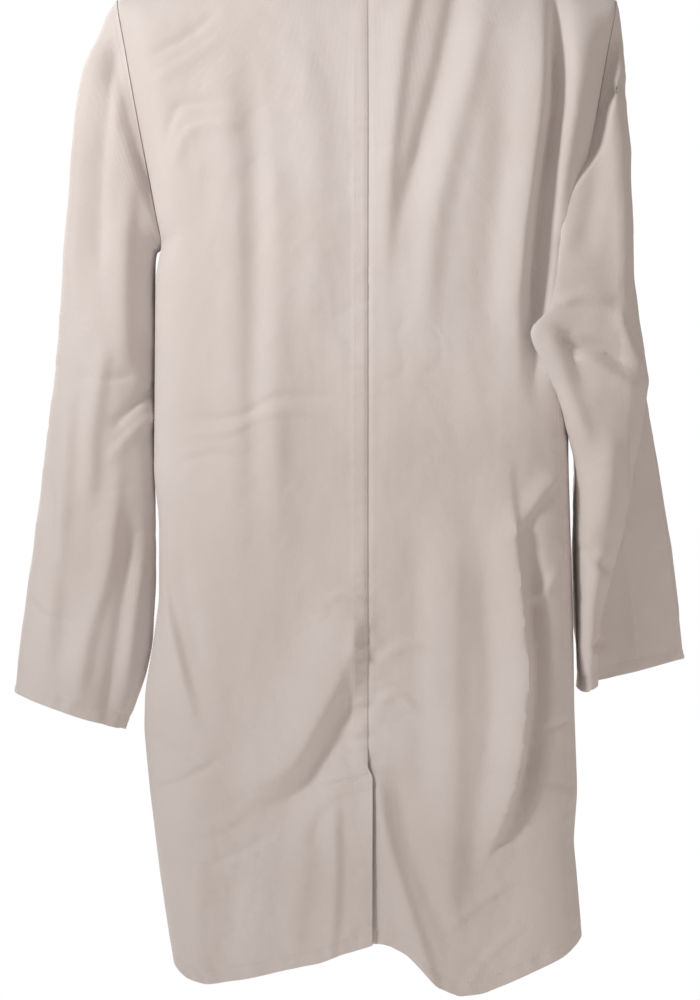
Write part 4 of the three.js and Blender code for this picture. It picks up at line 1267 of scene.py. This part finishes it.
STUD_ROWS = {
    "stud_cap": ("front_left", "enamel", "stud_cap", [
        [0, -8.65], [1.6, -8.6], [3.4, -8.35], [4.8, -7.9], [5.6, -7.5], [6.0, -7.1], [5.9, -6.85],
        [5.4, -6.8], [1.9, -6.8], [1.9, -3.6], [0, -3.6]]),
    "stud_socket": ("front_left", "nickel", "stud_metal", [
        [0, -3.3], [5.4, -3.3], [5.9, -3.1], [6.0, -2.6], [5.7, -2.2], [5.0, -2.05], [4.7, -1.5],
        [4.2, -1.4], [3.5, -1.4], [3.3, -1.6], [3.3, -2.5], [2.9, -2.6], [0, -2.6]]),
    "stud_knob": ("front_right", "nickel", "stud_metal", [
        [0, -2.3], [1.6, -2.3], [2.3, -2.15], [2.6, -1.8], [2.5, -1.5], [2.3, -1.2], [4.6, -1.1],
        [5.6, -0.95], [6.0, -0.6], [5.8, -0.3], [0, -0.3]]),
    "stud_post": ("front_right", "nickel", "stud_metal", [
        [0, 0.2], [1.9, 0.2], [1.9, 3.2], [4.9, 3.2], [5.4, 3.35], [5.5, 3.6], [5.0, 3.85],
        [3.0, 4.1], [0, 4.3]]),
}


# ---------------------------------------------------------------- the stage, in metres
CAMERA_X = 0.017
CAMERA_Z = -0.598
BACK_FACE = 0.09  # the back of the coat stands about this far from the origin
FLOOR_Z = -1.47
FLOOR_RADIUS = 1.3
FLOOR_SIDES = 96
LIGHT_AIM = (0.08, 0, -0.22)
# Name, place, size, watts, spread in degrees and tint.
LIGHTS = (
    ("key", (1.8, 1.75, 0.5), 0.4, 4.0, 58, "#FFFAF6"),
    ("fill", (-2.2, 1.9, -0.9), 2.2, 7, 180, "#FFE3CC"),
    ("front", (1.5, -1.9, 0.9), 0.8, 16, 110, "#FFFCF8"),
)


# ---------------------------------------------------------------- what a user may change
class CoatFinish(bpy.types.PropertyGroup):
    """Colours and surface of the cloth, thread and studs."""

    cloth_light: StringProperty(name="Cloth, light", default="#EBE5E4",
                                description="Paint-list colour of the cloth where it is cleanest")
    cloth_dark: StringProperty(name="Cloth, worn", default="#E1DAD7",
                               description="Paint-list colour of the cloth where it has worn")
    thread: FloatProperty(name="Thread spacing", default=1.1, min=0.3, max=3.0,
                          description="Spacing of the drawn threads in millimetres")
    roughness: FloatProperty(name="Roughness", default=0.92, min=0, max=1, subtype="FACTOR",
                             description="How matt the cloth is")


class CoatSewing(bpy.types.PropertyGroup):
    """Sizes of the stitches and the studs' spacing."""

    pitch: FloatProperty(name="Stitch pitch", default=0.0034, min=0.001, max=0.01, unit="LENGTH",
                         description="Distance from one stitch to the next")
    length: FloatProperty(name="Stitch length", default=0.0027, min=0.001, max=0.01, unit="LENGTH",
                          description="Length of one stitch")
    thickness: FloatProperty(name="Thread thickness", default=0.0005, min=0.0001, max=0.002, unit="LENGTH",
                             description="Thickness of the sewing thread")
    studs: IntProperty(name="Studs", default=5, min=1, max=12, description="Press studs down the front")
    stud_pitch: FloatProperty(name="Stud pitch", default=0.135, min=0.05, max=0.3, unit="LENGTH",
                              description="Distance from one stud to the next")


class CoatStage(bpy.types.PropertyGroup):
    """Camera, floor and light."""

    lens: FloatProperty(name="Lens", default=69.3, min=20, max=200, subtype="DISTANCE_CAMERA",
                        description="Focal length on a 36 mm sensor")
    distance: FloatProperty(name="Camera distance", default=1.9, min=0.5, max=6, unit="LENGTH",
                            description="From the camera to the coat's back")
    backdrop: FloatVectorProperty(name="Backdrop", default=(1.0, 1.0, 1.0), subtype="COLOR",
                                  description="Colour of the backdrop")


# ---------------------------------------------------------------- operators
class LABCOAT_OT_finishes(bpy.types.Operator):
    """Mixes the finishes of the cloth, tape, thread, enamel and nickel."""

    bl_idname = "labcoat.finishes"
    bl_label = "Finishes"

    def execute(self, context):
        given = context.scene.coat_finish
        rough = given.roughness
        FINISHES["cloth"] = woven_finish("plain-woven white cotton", given.cloth_light, given.cloth_dark,
                                         given.thread, rough)
        FINISHES["trim"] = woven_finish("white trim cotton", "#E6E0DD", "#DCD4D0", given.thread, rough)
        FINISHES["label"] = woven_finish("woven label tape", "#C9C5C0", "#BBB6B0", 0.8, 0.7)
        FINISHES["thread"] = thread_finish()
        FINISHES["enamel"] = enamel_finish()
        FINISHES["nickel"] = nickel_finish()
        return {"FINISHED"}


class LABCOAT_OT_backs(bpy.types.Operator):
    """Makes the two back panels with their vent flaps and hems."""

    bl_idname = "labcoat.backs"
    bl_label = "Back panels"

    def execute(self, context):
        for side in HALVES:
            back_panel(side)
        return {"FINISHED"}


class LABCOAT_OT_fronts(bpy.types.Operator):
    """Makes the two fronts with their facings and lapels."""

    bl_idname = "labcoat.fronts"
    bl_label = "Fronts, facings and lapels"

    def execute(self, context):
        for side in HALVES:
            front_panel(side)
            lapel(side)
        return {"FINISHED"}


class LABCOAT_OT_pockets(bpy.types.Operator):
    """Makes the patch pockets."""

    bl_idname = "labcoat.pockets"
    bl_label = "Pockets"

    def execute(self, context):
        for name in POCKETS:
            pocket(name)
        return {"FINISHED"}


class LABCOAT_OT_collar(bpy.types.Operator):
    """Makes the collar, its stand, the neck facing, the hanger loop and the blank labels."""

    bl_idname = "labcoat.collar"
    bl_label = "Collar and neck"

    def execute(self, context):
        for side in HALVES:
            collar_half(side)
        neck_band()
        neck_facing()
        low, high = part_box("neck_label")
        corner = (low.x / MM, high.y / MM, high.z / MM)
        label("neck_label", corner, across=(46, 0, 0), down=(0, 0, -26), bow=(0, -1.2, 0))
        low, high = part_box("care_label")
        corner = (high.x / MM, low.y / MM, high.z / MM)
        label("care_label", corner, across=(0, 30, 0), down=(0, 0, -46), bow=(-2.5, 0, 0))
        return {"FINISHED"}


class LABCOAT_OT_sleeves(bpy.types.Operator):
    """Makes the two sleeves, each in an upper and a lower piece, and the hems of their cuffs."""

    bl_idname = "labcoat.sleeves"
    bl_label = "Sleeves"

    def execute(self, context):
        for side in HALVES:
            sleeve(side)
        return {"FINISHED"}


class LABCOAT_OT_studs(bpy.types.Operator):
    """Sets the press studs down the fronts."""

    bl_idname = "labcoat.studs"
    bl_label = "Press studs"

    def execute(self, context):
        given = context.scene.coat_sewing
        tree = copies_tree()
        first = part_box("stud_cap_1")
        tilt = Euler((-FRONT_TILT, 0, 0))
        base = Vector((0, -FRONT_FORWARD * MM, -FRONT_TOP * MM))
        centre = (first[0] + first[1]) / 2
        along_front = tilt.to_matrix() @ Vector((0, 0, -1))
        start = (centre - base).dot(along_front)
        places = [base + along_front * (start + i * given.stud_pitch) for i in range(given.studs)]
        for name, (body, key, material_slot, profile) in STUD_ROWS.items():
            form = lathe(f"{name}_form", profile)
            carrier = bpy.data.meshes.new(f"{name}_places")
            carrier.from_pydata([tuple(p) for p in places], [], [])
            row = grown(f"{name}s", carrier, tree, {"Piece": form, "Tilt": tilt, "Finish": finish(key)})
            bpy.data.objects.remove(form)
            row.data.set_sharp_from_angle(angle=math.radians(40))
            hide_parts(*(f"{name}_{i + 1}" for i in range(given.studs)))
            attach(row, body)
        return {"FINISHED"}


class LABCOAT_OT_stitches(bpy.types.Operator):
    """Sews every line that the cloth pieces have marked."""

    bl_idname = "labcoat.stitches"
    bl_label = "Stitches"

    def execute(self, context):
        given = context.scene.coat_sewing
        tree = stitch_tree()
        values = {"Pitch": given.pitch, "Length": given.length, "Thickness": given.thickness,
                  "Thread": finish("thread")}
        for name, bodies, lines in SEWN:
            row = grown(f"{name}_stitches", lines_mesh(f"{name}_lines", lines), tree, values)
            follow(row, bodies)
        return {"FINISHED"}


class LABCOAT_OT_stage(bpy.types.Operator):
    """Sets the camera, the pale floor and the soft light."""

    bl_idname = "labcoat.stage"
    bl_label = "Stage"

    def execute(self, context):
        given = context.scene.coat_stage
        scene = context.scene
        camera = bpy.data.objects.new("camera", bpy.data.cameras.new("camera"))
        scene.collection.objects.link(camera)
        camera.data.lens = given.lens
        camera.location = (CAMERA_X, given.distance + BACK_FACE, CAMERA_Z)
        camera.rotation_euler = (math.radians(90), 0, math.radians(180))
        scene.camera = camera
        floor_finish, tree = new_finish("pale floor")
        place = node(tree, "ShaderNodeTexCoord").outputs["Object"]
        mottle = node(tree, "ShaderNodeTexNoise", {"Vector": place, "Scale": 3.0})
        base = node(tree, "ShaderNodeMix", {"Factor": mottle.outputs["Fac"], "A": colour("#F2F0EE"),
                                            "B": colour("#F7F5F3")}, data_type="RGBA")
        finish_with(tree, base.outputs["Result"], None, Roughness=0.9, Emission_Color=colour("#FFFDFB"),
                    Emission_Strength=0.22)
        mesh = bpy.data.meshes.new("floor")
        turns = [2 * math.pi * i / FLOOR_SIDES for i in range(FLOOR_SIDES)]
        rim = [(FLOOR_RADIUS * math.cos(t), FLOOR_RADIUS * math.sin(t), FLOOR_Z) for t in turns]
        mesh.from_pydata(rim, [], [list(range(FLOOR_SIDES))])
        mesh.materials.append(floor_finish)
        floor = link("floor", mesh)
        for name, spot, size, power, spread, tint in LIGHTS:
            lamp = bpy.data.objects.new(name, bpy.data.lights.new(name, "AREA"))
            lamp.data.energy = power
            lamp.data.size = size
            lamp.data.color = colour(tint)[:3]
            lamp.data.spread = math.radians(spread)
            lamp.location = spot
            aim = Vector(LIGHT_AIM) - lamp.location
            lamp.rotation_euler = aim.to_track_quat("-Z", "Y").to_euler()
            scene.collection.objects.link(lamp)
        scene.world = bpy.data.worlds.new("studio")
        scene.world.use_nodes = True
        tree = scene.world.node_tree
        tree.nodes.clear()
        seen = node(tree, "ShaderNodeBackground", {"Color": (*given.backdrop, 1), "Strength": 1.0})
        lit = node(tree, "ShaderNodeBackground", {"Color": colour("#F6ECE4"), "Strength": 0.38})
        ray = node(tree, "ShaderNodeLightPath").outputs["Is Camera Ray"]
        mixed = node(tree, "ShaderNodeMixShader", {0: ray, 1: lit.outputs[0], 2: seen.outputs[0]})
        node(tree, "ShaderNodeOutputWorld", {"Surface": mixed.outputs[0]})
        scene.view_settings.view_transform = "Standard"
        return {"FINISHED"}


OPERATORS = (
    LABCOAT_OT_stage,
    LABCOAT_OT_finishes,
    LABCOAT_OT_backs,
    LABCOAT_OT_fronts,
    LABCOAT_OT_pockets,
    LABCOAT_OT_collar,
    LABCOAT_OT_sleeves,
    LABCOAT_OT_studs,
    LABCOAT_OT_stitches,
)


class LABCOAT_PT_panel(bpy.types.Panel):
    """Lists the coat's settings and its steps."""

    bl_label = "Laboratory coat"
    bl_idname = "LABCOAT_PT_panel"
    bl_space_type = "VIEW_3D"
    bl_region_type = "UI"
    bl_category = "Lab coat"

    def draw(self, context):
        for group in (context.scene.coat_finish, context.scene.coat_sewing, context.scene.coat_stage):
            for name in group.__annotations__:
                self.layout.prop(group, name)
        for operator in OPERATORS:
            self.layout.operator(operator.bl_idname)


CLASSES = (CoatFinish, CoatSewing, CoatStage, *OPERATORS, LABCOAT_PT_panel)


def register():
    for kind in CLASSES:
        bpy.utils.register_class(kind)
    bpy.types.Scene.coat_finish = PointerProperty(type=CoatFinish)
    bpy.types.Scene.coat_sewing = PointerProperty(type=CoatSewing)
    bpy.types.Scene.coat_stage = PointerProperty(type=CoatStage)


def unregister():
    del bpy.types.Scene.coat_stage
    del bpy.types.Scene.coat_sewing
    del bpy.types.Scene.coat_finish
    for kind in reversed(CLASSES):
        bpy.utils.unregister_class(kind)


def main():
    register()
    for operator in OPERATORS:
        group, name = operator.bl_idname.split(".")
        getattr(getattr(bpy.ops, group), name)()


if __name__ == "__main__":
    main()
